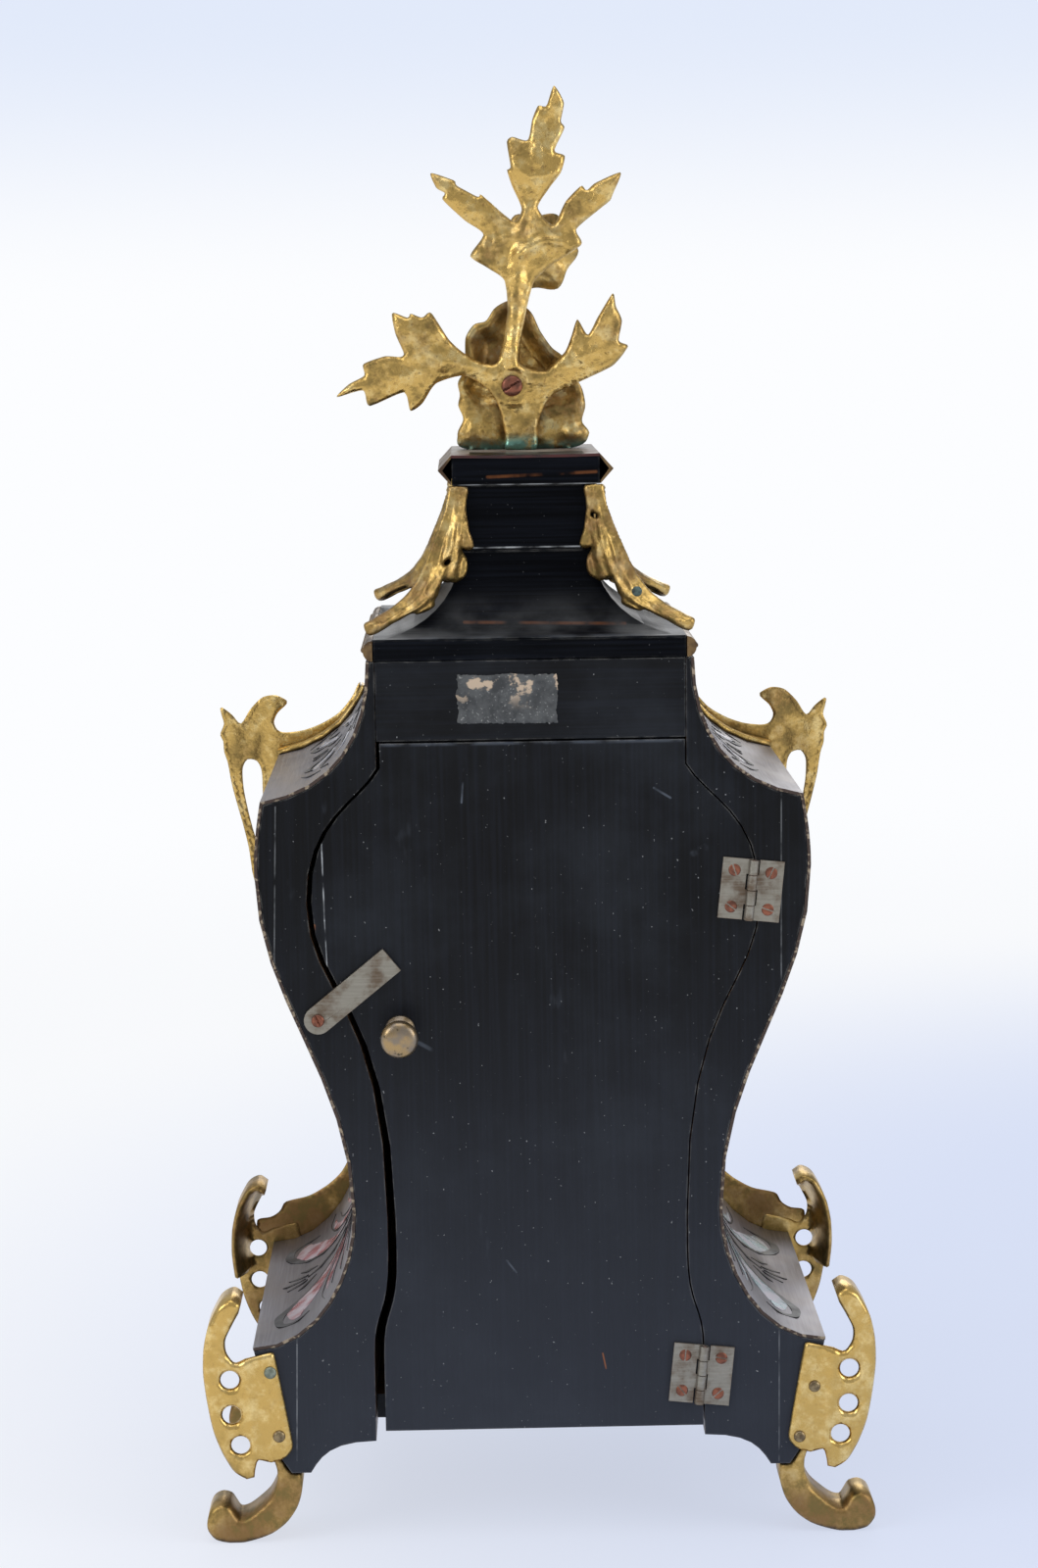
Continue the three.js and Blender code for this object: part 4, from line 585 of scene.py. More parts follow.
def casting(name, rings, spacing, heights, place, material, seams=()):
    """A closed cast plate: heights gives its two faces, place puts them in the clock, in mm."""
    rings = [np.asarray(ring, float) for ring in rings]
    rim = np.concatenate(rings)
    low, high = rim.min(0), rim.max(0)
    rows = np.arange(low[1], high[1], spacing * ROW_STEP)
    grid = np.array([(x + (i % 2) * spacing / 2, y) for i, y in enumerate(rows)
                     for x in np.arange(low[0], high[0], spacing)])
    grid = grid[within(grid, rings)]
    closed = [np.vstack([ring, ring[:1]]) for ring in rings]
    apart = np.min([to_line(grid, ring)[0] for ring in closed], axis=0)
    grid = grid[apart > RIM_CLEAR * spacing]
    if len(seams):
        grid = np.vstack([grid, seams])
    ties, start = [], 0
    for ring in rings:
        ties += [(start + i, start + (i + 1) % len(ring)) for i in range(len(ring))]
        start += len(ring)
    corners = [Vector(p) for p in np.vstack([rim, grid])]
    flat, _, faces, _, _, _ = delaunay_2d_cdt(corners, ties, [], 0, 1e-5)
    flat = np.array([tuple(p) for p in flat])
    faces = np.array([f for f in faces if len(f) == 3])
    faces = faces[within(flat[faces].mean(1), rings)]
    depth = np.min([to_line(flat, ring)[0] for ring in closed], axis=0)
    top, under = heights(flat, depth)
    count = len(flat)
    used = {}
    for a, b, c in faces:
        for pair in ((a, b), (b, c), (c, a)):
            key = (min(pair), max(pair))
            used[key] = None if key in used else pair
    walls = [(a, b, b + count, a + count) for a, b in filter(None, used.values())]
    points = np.vstack([place(flat, top), place(flat, under)])
    solid = [tuple(f) for f in faces] + [tuple(f + count)[::-1] for f in faces] + walls
    return mesh_piece(name, points.tolist(), [tuple(int(i) for i in f) for f in solid], material)


# ---- The finial: leaf spray, flower and rocaille base.
# The spray is one flat casting whose back was never chased. Its stem stands up as a rib, its
# toothed leaves are thin and pitted, and one slotted screw holds it to the hollow base.
SPRAY_SCREW = (3.4, 364.9)
SPRAY_SEAT = 5.2  # the flat round the screw
SPRAY_EDGE = [
    (-8.1, -12.5), (-7.6, -20.5), (2.4, -20.5), (2.3, -16.5), (3.8, -8.2), (7.1, -1.6), (15.2, 3.5),
    (24.4, 1.1), (29, -5.4), (32.8, -7.6), (34.7, -1.6), (46, -5.9), (47.9, -0.8), (56.6, -2.9),
    (52.5, 1.2), (47.4, 3.9), (47.7, 7.6), (40.7, 10), (35.8, 9.7), (34.5, 10.7), (37.2, 17.3),
    (38.1, 23.8), (33, 22.1), (32.2, 23.5), (28.5, 22.1), (25.6, 23.7), (20, 15), (15.5, 10.8),
    (9.2, 7.4), (4.4, 7.8), (1.1, 23.7), (1.9, 33.6), (7.3, 37.6), (12.8, 41.4), (8.3, 48.2),
    (14.4, 52.7), (21.3, 59.3), (20.4, 61.3), (23.2, 63), (25, 67.8), (17.5, 65.3), (16.6, 63.6),
    (9.8, 59.9), (8.9, 60.7), (-1.2, 52.1), (-4, 56), (-0.9, 63.4), (0.6, 68.3), (-0.6, 69.1),
    (0.5, 77.1), (-1.2, 78.7), (-6.2, 77.5), (-7.8, 84.3), (-9.7, 88.4), (-12.3, 88.2),
    (-14.7, 94.6), (-17.9, 89.3), (-16.8, 83.3), (-18, 81.3), (-14.6, 74.1), (-18, 72.5),
    (-16.6, 67.2), (-13.2, 62.9), (-9, 56.4), (-13.9, 50.7), (-18.1, 58.3), (-23.1, 63.1),
    (-24.7, 61.5), (-27.6, 63.9), (-35.8, 67.1), (-32.9, 59.8), (-32.2, 58.2), (-29.1, 55.8),
    (-21.3, 49.4), (-23, 44.5), (-13, 38), (-7.6, 33), (-4.9, 23.6), (-2.6, 7.6), (-10.4, 4.7),
    (-17.1, 10.4), (-19.2, 15.2), (-21.3, 20.9), (-24.6, 15.8), (-27.9, 21.6), (-32.8, 29.1),
    (-33.7, 24.8), (-35.6, 20.3), (-34.5, 13.8), (-37.6, 12.1), (-32.7, 6), (-22.7, 1.3),
    (-13.6, -2.7), (-10.2, -6.8)]
# Each rib is a line, its height and its width.
SPRAY_RIBS = [
    ([(-1, -4), (-0.5, 8), (-1.2, 20), (-2.2, 34), (-3, 42), (-4.6, 49), (-5.3, 55)], 2.0, 2.3),
    ([(-5.3, 55), (-7, 63), (-9.8, 79), (-13, 90)], 0.5, 1.6),
    ([(0, 1), (11, 5.6), (20, 7.9), (34, 4.1), (52, -1.6)], 0.9, 2.6),
    ([(22, 8.5), (29, 14), (35, 21)], 0.5, 2.2),
    ([(0, 1), (-11, 2.4), (-20, 7.9), (-26, 15), (-31, 26)], 0.9, 2.6),
    ([(-22, 9), (-30, 11), (-35, 13)], 0.4, 1.6),
    ([(-3, 42), (-10, 45.5), (-16, 45.4), (-22, 43)], 1.7, 1.8),
    ([(-3, 48.5), (3, 46), (9, 43), (12, 41)], 1.1, 1.5),
    ([(-2, 50), (11, 56.6), (24, 64.5)], 0.4, 2.4), ([(-15, 49), (-22.5, 55), (-33, 64)], 0.5, 2.4),
    ([(-1, 70), (-7, 66), (-15, 67)], 1.2, 1.4)]
# Each bend is a place, how far the metal there stands back, and over what reach.
SPRAY_BENDS = [
    ((-9, 70), 1.6, 7), ((-10, 84), -1.2, 9), ((50, 0), -1.5, 9), ((-33, 20), 1.2, 9),
    ((24, 64), -1.2, 8), ((-34, 64), 1.4, 8), ((30, 16), 0.9, 8)]


def spray_faces(flat, depth):
    here = flat - SPRAY_SCREW
    bend = sum(far * hump(here, spot, reach) for spot, far, reach in SPRAY_BENDS)
    swell = rounded(depth, 1.1)
    back = (1.3 + 1.1 * swell + 0.5 * lumps(flat, 5.5, 3.1) + 0.32 * lumps(flat, 1.9, 7.7)
            + 0.12 * lumps(flat, 0.9, 1.3))
    for path, tall, wide in SPRAY_RIBS:
        apart, share = to_line(here, soft_line(path, 1.0, closed=False))
        back += swell * tall * (1 - 0.45 * share) * np.exp(-(apart / wide) ** 2)
    back = np.where(np.hypot(*here.T) < SPRAY_SEAT, 2.6, back)
    return back + bend, 1.0 - 0.9 * swell + bend


spray_edge = [(SPRAY_SCREW[0] + x, SPRAY_SCREW[1] + z) for x, z in SPRAY_EDGE]
spray_line = soft_line(spray_edge, 0.8, soft=0.55)
spray = casting("leaf_spray", [spray_line], 0.85, spray_faces, laid_on(0),
                gilt_bronze("gilt_spray", tarnish=0.42, green=0.05, green_below=350.5, rim=0.6))
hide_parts("finial_spray")
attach(spray, "case")

BASE_EDGE = [
    (-16, 344.5), (-21.6, 349), (-19.2, 353), (-20.4, 358), (-19.4, 363.5), (-16.5, 368.6),
    (-13.3, 374), (-9.8, 376.8), (-6.2, 382), (-3.4, 388), (0.4, 391.2), (4.4, 391.9), (8.6, 389.6),
    (11.4, 385.6), (15.2, 384.6), (18, 380.6), (18.3, 374.8), (18.6, 370), (20.8, 366), (20.2, 362),
    (20.8, 358.6), (19.2, 354.2), (21.2, 349.4), (18.2, 344.5)]
# Each ball of the rim is a place, a reach and a height.
BASE_BALLS = [
    ((-17, 349.6), 5.2, 3.2), ((16.6, 349.8), 5.4, 3), ((16.8, 361), 3.6, 1.6),
    ((-16.6, 359), 4, 1.5), ((10, 347), 4, 1.6), ((15.6, 380), 4, 1.2)]
BOWL_DEEP, BOWL_LOW, BOWL_TALL = 6.2, 357, 9  # the hollow in the back opens upwards


def smooth_step(share):
    return share * share * (3 - 2 * share)


def base_faces(flat, depth):
    back = -0.9 + 0.7 * rounded(depth, 1.6)
    high = np.clip((flat[:, 1] - BOWL_LOW) / BOWL_TALL, 0, 1)
    bowl = np.clip((depth - 0.8) / 6.5, 0, 1)
    rim = np.clip((depth - 1.2) / 2.5, 0, 1)
    back -= BOWL_DEEP * smooth_step(high) * smooth_step(bowl)
    for spot, reach, tall in BASE_BALLS:
        back += tall * 0.6 * hump(flat, spot, reach) ** 2 * rim - 0.3 * tall
    back += 0.8 * lumps(flat, 4.6, 5.2) + 0.35 * lumps(flat, 1.7, 2.2)
    back = np.minimum(back, -0.15)
    ways = np.arctan2(flat[:, 0], flat[:, 1] - 346)
    front = -6 - 21 * rounded(depth, 15) - 1.1 * np.cos(ways * 13) * rounded(depth, 9)
    return back, np.minimum(front, back - 2.2)


base = casting("rocaille_base", [soft_line(BASE_EDGE, 1.0)], 1.05, base_faces, laid_on(0),
               gilt_bronze("gilt_base", tarnish=0.56, green=0.2, green_below=348.5, rim=0.3))
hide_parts("finial_base")
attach(base, "case")

# The flower is a cupped, scalloped casting soldered to the front of the spray.
FLOWER_SPOT = (-5.2, 407.4)
FLOWER_REACH, FLOWER_CUP = 13.6, 4.6
RINGS, SECTORS = 12, 72
petal_points = []
for side in (0, 1):
    for i in range(RINGS + 1):
        out_share = i / RINGS
        for k in range(SECTORS):
            way = 2 * pi * k / SECTORS
            reach = FLOWER_REACH * out_share * (1 - 0.16 * abs(sin(3 * way)) ** 1.6 * out_share)
            across, up = reach * cos(way), reach * sin(way)
            pit = noise.noise(Vector((across / 1.7, up / 1.7, side * 4.0)))
            fold = 0.9 * sin(6 * way + 0.4) * out_share * out_share
            cup = FLOWER_CUP * out_share ** 2 + fold + 0.5 * pit
            thick = 1.4 + 1.4 * sqrt(max(0.0, 1 - out_share ** 4))
            petal_points.append((FLOWER_SPOT[0] + across, -0.6 - cup - (thick if side else 0),
                                 FLOWER_SPOT[1] + up))
petal_faces = [face[::-1] for face in wrap(0, RINGS, SECTORS)]
petal_faces += wrap((RINGS + 1) * SECTORS, RINGS, SECTORS)
for k in range(SECTORS):
    a, b = RINGS * SECTORS + k, RINGS * SECTORS + (k + 1) % SECTORS
    petal_faces.append((a, b, b + (RINGS + 1) * SECTORS, a + (RINGS + 1) * SECTORS))
flower = mesh_piece("finial_rosette", petal_points, petal_faces,
                    gilt_bronze("gilt_flower", 0.5, 0.05, 520.0, rim=0.3))
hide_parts("finial_flower")
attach(flower, "case")


# ---- Corner leaves of the caddy.
# An acanthus leaf is bent over each of the four hips. It stands off the cove along its spine,
# its lobed edges are pinned down with brass nails, and its tip rolls up over the plate.
# At each height, how far from the middle the spine of the leaf and the face of the cove stand:
HIP_SPINE = [
    (334.3, 23.4), (328, 24.4), (322, 26.4), (316, 28.9), (311, 31), (306, 33.6), (301.5, 37.2),
    (298, 42), (296, 46), (294, 48.6), (291, 49.6), (288, 50)]
HIP_WALL = [
    (334.3, 21.9), (314, 21.2), (306, 22.7), (300, 25.9), (296, 29.4), (292, 35.4), (290, 41.4),
    (288, 48)]
DEEPER = 11.95  # how much farther the hips stand out to front and back than to the sides
LEAF_EDGE = [
    (4.9, 334.3), (5.4, 330), (5.8, 327.3), (8.6, 321.3), (11.2, 317.8), (12.4, 315.6),
    (11.4, 314.6), (8.8, 315), (11.6, 312), (13.4, 309), (13.8, 306.6), (12.2, 304.8), (9.6, 305.4),
    (7.2, 306.2), (8.4, 303), (10, 300.2), (12.4, 298.4), (12.8, 297), (11, 296.3), (8.4, 296.8),
    (7.4, 295.2), (5.6, 293.6), (3.6, 292.2), (1.6, 291.2)]
LEAF_RIBS = [
    ([(0, 335), (0, 293)], 0.9, 0.9),
    ([(1.8, 334), (4.4, 326), (7.4, 320), (11.6, 316.2)], 0.75, 0.8),
    ([(3.6, 334), (5, 328), (6.6, 322)], 0.45, 0.6),
    ([(1.4, 327), (4, 319), (8, 312.6), (13, 307.4)], 0.75, 0.8),
    ([(4, 321), (7, 315.6), (9.6, 311)], 0.5, 0.6),
    ([(1.6, 318), (3.6, 311), (7, 307), (9.4, 305.8)], 0.6, 0.7),
    ([(1.2, 310), (3, 304), (7, 300), (12, 297.4)], 0.7, 0.8),
    ([(1, 302), (2.4, 298.4), (5.4, 296), (7, 295)], 0.5, 0.7)]
NAIL_HOLES = {
    "rear_left": [(5.9, 311.3), (-5.9, 311.3)], "rear_right": [(4.2, 325), (-5.9, 311)],
    "front_left": [(5.9, 311), (-5.9, 311.3)], "front_right": [(5.2, 311), (-5.9, 309)]}
NAIL_HOLE = 0.95


def leaf_faces(flat, depth):
    half = np.stack([abs(flat[:, 0]), flat[:, 1]], 1)
    swell = rounded(depth, 0.9)
    top = 0.5 + 0.7 * swell + 0.2 * lumps(flat, 2.2, 4.4)
    for path, tall, wide in LEAF_RIBS:
        apart, share = to_line(half, soft_line(path, 0.7, closed=False))
        fading = np.sin(pi * np.clip(0.12 + share * 0.95, 0, 1)) ** 0.5
        top += swell * 0.45 * tall * fading * np.exp(-(apart / wide) ** 2)
        top -= swell * 0.15 * np.exp(-((apart - 1.5 * wide) / 0.5) ** 2)
    fan = np.arctan2(half[:, 0], 345 - half[:, 1])
    top += 0.2 * swell * np.cos(2 * pi * fan / 0.085)
    top += 2.0 * np.exp(-(np.hypot(flat[:, 0] / 2.4, (flat[:, 1] - 293.2) / 1.6)) ** 2)
    return top, np.full(len(flat), -1.1)


def over_hip(side, end):
    """Places a flat leaf over one hip: half of it on the back or front, half on the side."""
    spine_z, spine_x = (np.array(column[::-1]) for column in zip(*HIP_SPINE))
    wall_z, wall_x = (np.array(column[::-1]) for column in zip(*HIP_WALL))

    def place(flat, height):
        across, z = flat[:, 0], flat[:, 1]
        spine = np.interp(z, spine_z, spine_x)
        wall = np.interp(z, wall_z, wall_x) + 1.3
        share = np.clip(abs(across) / np.maximum(spine - wall + 3.0, 4.0), 0, 1)
        inward = spine - abs(across)
        proud = spine + (np.minimum(wall, spine) - spine) * share ** 1.5
        turn = np.clip(0.5 + across / 3.0, 0, 1)
        x = np.where(across > 0, inward, proud) + height * (1 - turn) * 0.92
        y = np.where(across > 0, proud, inward) + height * turn * 0.92 + DEEPER
        return np.stack([side * x, end * y, z + 0.3 * height], 1)
    return place


def circle(x, z, radius, count=14):
    turns = [2 * pi * i / count for i in range(count)]
    return [(x + radius * cos(turn), z + radius * sin(turn)) for turn in turns]


leaf_line = soft_line(LEAF_EDGE + [(-a, z) for a, z in LEAF_EDGE[::-1]], 0.7, soft=0.6)
corner_look = gilt_bronze("gilt_corner_leaf", 0.55, 0.07, 1000.0, rim=0.2)
ENDS = (("rear", 1), ("front", -1))
CORNERS = [(f"{end}_{side}", left_right, back_front) for end, back_front in ENDS
           for side, left_right in SIDES]
for corner, left_right, back_front in CORNERS:
    holes = [circle(x, z, NAIL_HOLE) for x, z in NAIL_HOLES[corner]]
    leaf = casting(f"acanthus_{corner}", [leaf_line] + holes, 0.65, leaf_faces,
                   over_hip(left_right, back_front), corner_look)
    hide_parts(f"corner_leaf_{corner}")
    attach(leaf, "case")


# ---- Scroll brackets on the four lower corners.
# A hooked wing cast in one with its nailed flange: three round holes, a soft ridge where wing
# and flange meet, and a broad band turned in along the outer edge.
FLARE = (90.8, 65.0)  # the corner of the case, from which each outline is measured
WING_OUTER = [
    (3.4, 14.4), (6, 16.2), (8.6, 15.4), (10.8, 13.4), (14, 7.2), (15.6, 0), (15.9, -8.4),
    (14.8, -18), (13.1, -27), (10.3, -34.5), (6.8, -40.4), (2.9, -42.9)]
WING_FLANGE = [
    (0.5, -42.3), (0.2, -39.8), (-0.8, -36.6), (-5, -37.6), (-9.4, -36.2), (-11.6, -33.6),
    (-11.9, -31.2), (-9.6, -17.6), (-6.8, -2.2), (-5.6, -1.4)]
WING_INNER = [(2.5, -3.3), (5.9, -4.6), (8.4, -1.2), (8.6, 3), (6.4, 7.7), (4.2, 11.6)]
BRACKET_RIDGE = [(2.6, -4.3), (1.4, -18), (-0.4, -35)]
BRACKET_HOLES = [(7.5, -10.1), (7.2, -21.6), (4.6, -31.6)]
HOLE_RADIUS = 3.0
BRACKET_SEAT = 60.35
BAND_WIDE, BAND_THICK = 17.0, 2.5
BAND_SHARE = 0.6  # how much of the outer edge the band follows
WEDGE_WIDE = 5.6  # how far the front wing thickens towards the band


def bracket(name, end, side, shift, material):
    def from_flare(points):
        return [(FLARE[0] + shift[0] + x, FLARE[1] + shift[1] + z) for x, z in points]

    outer = soft_line(from_flare(WING_OUTER), 1.0, closed=False)
    inner = soft_line(from_flare(WING_INNER), 1.0, closed=False)
    flange = soft_line(from_flare(WING_FLANGE), 1.0, closed=False, soft=0.4)
    band = outer[: int(len(outer) * BAND_SHARE)]
    line = from_flare(BRACKET_RIDGE)

    def faces(flat, depth):
        swell = rounded(depth, 1.0)
        top = 0.75 + 1.15 * swell + 0.16 * lumps(flat, 3.4, 2.0 + side)
        top += 0.07 * lumps(flat, 1.3, 5.0)
        apart, _ = to_line(flat, line)
        top += 0.4 * np.exp(-(apart / 1.1) ** 2)
        top -= 0.35 * np.clip((line[0][0] - 1.5 - flat[:, 0]) / 3, 0, 1) * swell
        near_band, share = to_line(flat, band)
        if end > 0:
            turned_in = (near_band < BAND_THICK - 0.2).astype(float)
        else:
            turned_in = np.clip((WEDGE_WIDE - near_band) / (WEDGE_WIDE - 1.2), 0, 1) ** 0.7
        inward = 0.15 + (2.25 - BAND_WIDE + 1.2 * (1 - swell)) * turned_in
        return top, np.where(share < 0.995, inward, 0.15)

    holes = [circle(x, z, HOLE_RADIUS, 20) for x, z in from_flare(BRACKET_HOLES)]
    return casting(name, [np.vstack([outer, flange, inner])] + holes, 1.0, faces,
                   laid_on(BRACKET_SEAT, side, end), material)


bracket_look = gilt_bronze("gilt_bracket", 0.38, 0.0, 620.0, patch_size=20.0, rim=0.3, pits=0.14)
front_look = gilt_bronze("gilt_front_bracket", 0.56, 0.0, 620.0, patch_size=30.0, rim=0.2, pits=0.2,
                         recess_shade=0.12)
run_look = gilt_bronze("gilt_run", 0.66, 0.0, 620.0, patch_size=60.0, pits=0.3, recess_shade=0.5)
# On the front a leaf runs from the wing up the edge of the case.
RUN_EDGE = [
    (61.6, 102), (63.4, 95.4), (66.6, 89.6), (71.6, 85), (78, 81.4), (84, 80), (86.8, 79),
    (88.4, 76), (91.5, 74), (96.4, 73), (96, 68.6), (90.4, 63.4), (82, 61.6), (76.4, 62.8),
    (69, 66.4), (63.4, 72), (59.4, 79.4), (56.4, 88), (55.6, 96)]
RUN_RIBS = [
    [(60.4, 98), (63, 88), (70, 78), (80, 73), (90, 72)],
    [(60, 90), (66, 76), (78, 66.6), (88, 65)]]


def run_faces(flat, depth):
    swell = rounded(depth, 1.2)
    top = 0.6 + 1.2 * swell + 0.25 * lumps(flat, 3.0, 8.0)
    for path in RUN_RIBS:
        top += 0.8 * swell * ridge(flat, path, 1.3)
    return top, np.full(len(flat), 0.4)


for side, left_right in SIDES:
    wing = bracket(f"bracket_rear_{side}", 1, left_right, (0, 0), bracket_look)
    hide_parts(f"scroll_bracket_rear_{side}")
    front_wing = bracket(f"bracket_front_{side}", -1, left_right, (-2, 8), front_look)
    run = casting(f"bracket_leaf_{side}", [soft_line(RUN_EDGE, 1.2)], 1.4, run_faces,
                  laid_on(BRACKET_SEAT, left_right, -1), run_look)
    for made in (front_wing, run):
        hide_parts(f"scroll_bracket_front_{side}")
    for made in (wing, front_wing, run):
        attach(made, "case")


# ---- Shoulder mounts on the two front corners.
# A curled leaf stands at the shoulder, one strut drops from it to the bulge and a long leaf
# runs up the edge of the cove over a thin band.
SHOULDER = (84.2, 239.5)  # from which each outline is measured
SHOULDER_SEAT = 60.4
SHOULDER_EDGE = [
    (-28, 23.5), (-25, 18.2), (-20.6, 13), (-14.8, 9.4), (-8.6, 7.1), (-2.4, 6.3), (0.6, 7),
    (2, 9.9), (0.6, 13.2), (-2.4, 16), (-2.6, 17.4), (1.2, 19.3), (5.8, 18.6), (10, 14.6),
    (13.4, 9.6), (16.4, 12.8), (20.2, 15.6), (19.9, 12.6), (19.2, 9.6), (20.6, 6), (19.6, 3.6),
    (19.4, 0), (18.2, -4), (17, -11.5), (15.2, -19), (13.4, -26), (11.8, -33.5), (11, -40),
    (10.6, -43), (8.6, -50), (3.4, -58), (-2, -50), (-3, -20), (-4, -6), (-10, -3), (-20, 3),
    (-27, 11)]
SHOULDER_WINDOW = [
    (8.2, -3.4), (11.4, -2.8), (13.2, -6), (13, -13), (11.6, -21), (9.4, -30), (7, -34), (6, -28),
    (6.4, -16), (6.6, -7)]
SHOULDER_RIBS = [
    ([(-26, 19), (-18, 9), (-8, 3), (2, 2)], 0.9, 1.2),
    ([(0, 17), (5, 12), (8, 4), (8, -1)], 1.0, 1.5), ([(4, 17), (10, 11), (11, 2)], 0.8, 1.2),
    ([(18.6, 13), (16, 4), (14.4, -4), (15, -16), (11, -36)], 0.9, 1.3),
    ([(14, 9), (13.4, 1)], -0.7, 1.0), ([(10.6, -38), (5, -52)], 0.7, 1.6)]
BACK_HOLLOWS = [[(-1, 16), (6, 11), (10, 0)], [(18, 13), (15, 3), (15, -10)]]
COVE = [(50.6, 282.4), (50.6, 259.6), (61.1, 243.5), (84.2, 239.5)]
BAND_NEAR, BAND_FAR = 0.15, 1.55  # the band's edges, measured from the case


def from_shoulder(points):
    return [(SHOULDER[0] + x, SHOULDER[1] + z) for x, z in points]


def shoulder_faces(flat, depth):
    swell = rounded(depth, 1.3)
    top = 0.9 + 1.3 * swell + 0.22 * lumps(flat, 3.0, 6.0)
    for path, tall, wide in SHOULDER_RIBS:
        top += tall * swell * ridge(flat, from_shoulder(path), wide)
    outside = flat[:, 0] - SHOULDER[0]
    back = 0.2 + 0.8 * swell * np.clip((outside - 2) / 5, 0, 1) + 0.15 * lumps(flat, 2.4, 1.0)
    for path in BACK_HOLLOWS:
        back -= 0.5 * swell * ridge(flat, from_shoulder(path), 2.6) * (outside > 0)
    return top, np.minimum(back, top - 0.7)


def shoulder_band_faces(flat, depth):
    return np.full(len(flat), 2.0), -11 + 0.8 * np.sin(flat[:, 0] * 0.9)


def bend_line(corners, count):
    """A swelling line of the case, from its four drawing points."""
    a, b, c, d = (np.array(p, float) for p in corners)
    shares = np.linspace(0, 1, count)[:, None]
    return (a * (1 - shares) ** 3 + 3 * b * shares * (1 - shares) ** 2
            + 3 * c * shares ** 2 * (1 - shares) + d * shares ** 3)


def square_to(path):
    """The way square to a line, at each of its points, to the right of its run."""
    way = np.gradient(path, axis=0)
    return np.stack([way[:, 1], -way[:, 0]], 1) / np.hypot(*way.T)[:, None]


shoulder_look = gilt_bronze("gilt_shoulder", 0.46, 0.03, 1100.0, patch_size=40.0, rim=0.4)
edge_run = bend_line(COVE, 16)[5:]
off_case = square_to(edge_run)
band_ring = np.vstack([edge_run - off_case * BAND_FAR, (edge_run - off_case * BAND_NEAR)[::-1]])
mount_rings = [soft_line(from_shoulder(SHOULDER_EDGE), 1.1, soft=0.8),
               soft_line(from_shoulder(SHOULDER_WINDOW), 1.1)]
for side, left_right in SIDES:
    place = laid_on(SHOULDER_SEAT, left_right, -1)
    mount = casting(f"shoulder_leaf_{side}", mount_rings, 1.1, shoulder_faces, place, shoulder_look)
    band = casting(f"shoulder_band_{side}", [band_ring], 1.5, shoulder_band_faces, place,
                   shoulder_look)
    for made in (mount, band):
        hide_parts(f"shoulder_mount_{side}")
        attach(made, "case")


# ---- The feet.
# Each is a broad band bent to a scroll, filed flat on both faces, with its end rolled up. The
# rolled end carries the clock, and the top is set against the slanted toe of the case.
FOOT_EDGE = [
    (76.8, 22.9), (76.3, 20), (76.6, 16), (78.2, 11.2), (81.4, 6.6), (86, 3), (91.6, 0.9),
    (95.9, 0), (99.9, 0), (104.4, 1.2), (106.8, 4.4), (106.8, 8), (105.3, 11.2), (102.6, 12.5),
    (99.7, 11.7), (98.2, 9.4), (96.8, 7.4), (94.4, 7.8), (91.3, 9.9), (87, 13.9), (84.4, 19.4),
    (84.2, 24), (85.4, 28.5), (82.8, 28), (79.6, 23.2)]
FOOT_WIDE, FOOT_FACE = 16.0, 59.25


def foot_faces(flat, depth):
    worn = 0.9 * (1 - rounded(depth, 1.1)) - np.minimum(0.25 * lumps(flat, 5.0, 3.0), 0)
    return -worn, worn - FOOT_WIDE


foot_look = gilt_bronze("gilt_foot", 0.57, 0.0, 560.0, patch_size=24.0, rim=0.25, pits=0.16)
foot_line = soft_line(FOOT_EDGE, 0.9, soft=0.8)
foot_line[:, 1] = np.maximum(foot_line[:, 1], 0.0)
for corner, left_right, back_front in CORNERS:
    foot = casting(f"scroll_foot_{corner}", [foot_line], 1.2, foot_faces,
                   laid_on(FOOT_FACE, left_right, back_front), foot_look)
    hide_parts(f"foot_{corner}")
    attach(foot, "case")


# ---- The marquetry on the two sides.
# Thin sheets of grey metal bent over the swelling sides. Scrolls are cut through them and
# filled with black and with stained shell, and the rim shows brown glue and brass.
SHEET_METAL, SHEET_DARK, SHEET_DRAWN = srgb(146, 143, 150), srgb(96, 92, 97), srgb(196, 194, 200)
RIM_BROWN, RIM_BEIGE = srgb(62, 46, 38), srgb(158, 142, 120)
sheet_metal, tree = blank("marquetry_metal")
cloudy = mask(tree, speckle(tree, 24, 4.0, (1, 0.4, 1), 0.6), 0.35, 0.7)
drawn = use(tree, brush_marks, Along=(1, 0.03, 1), Fineness=1400.0)["Mask"]
tint = layer(tree, cloudy, SHEET_METAL, SHEET_DARK)
tint = layer(tree, times(tree, drawn, 0.18), tint, SHEET_DRAWN)
tint = layer(tree, use(tree, settled_dust, Amount=0.25, Size=700.0)["Mask"], tint, RIM_BEIGE)
endways = put(tree, "Math", {0: facing(tree, "Y")}, operation="ABSOLUTE")[0]
rim_share = mask(tree, endways, 0.6, 0.9)
crumbs = layer(tree, mask(tree, speckle(tree, 620, 3.0), 0.52, 0.66), RIM_BROWN, RIM_BEIGE)
surface(tree, layer(tree, rim_share, tint, crumbs), Metallic=between(tree, rim_share, 0.72, 0.1),
        Roughness=between(tree, cloudy, 0.34, 0.5), Normal=relief(tree, drawn, 0.2, 0.00015))
dress(sheet_metal, "marquetry_left", "marquetry_right", eased=0.2)


def coloured(name, tints, roughness, metallic=0.0, size=180.0):
    """Two tints mottled over each other, for small pieces."""
    material, tree = blank(name)
    blot = mask(tree, speckle(tree, size, 4.0), 0.38, 0.66)
    tint = layer(tree, blot, *(srgb(*tone) for tone in tints))
    tint = layer(tree, use(tree, settled_dust, Amount=0.3, Size=1300.0)["Mask"], tint, DUST)
    surface(tree, tint, Metallic=metallic, Normal=relief(tree, blot, 0.15, 0.0001),
            Roughness=between(tree, blot, roughness - 0.06, roughness + 0.1))
    return material


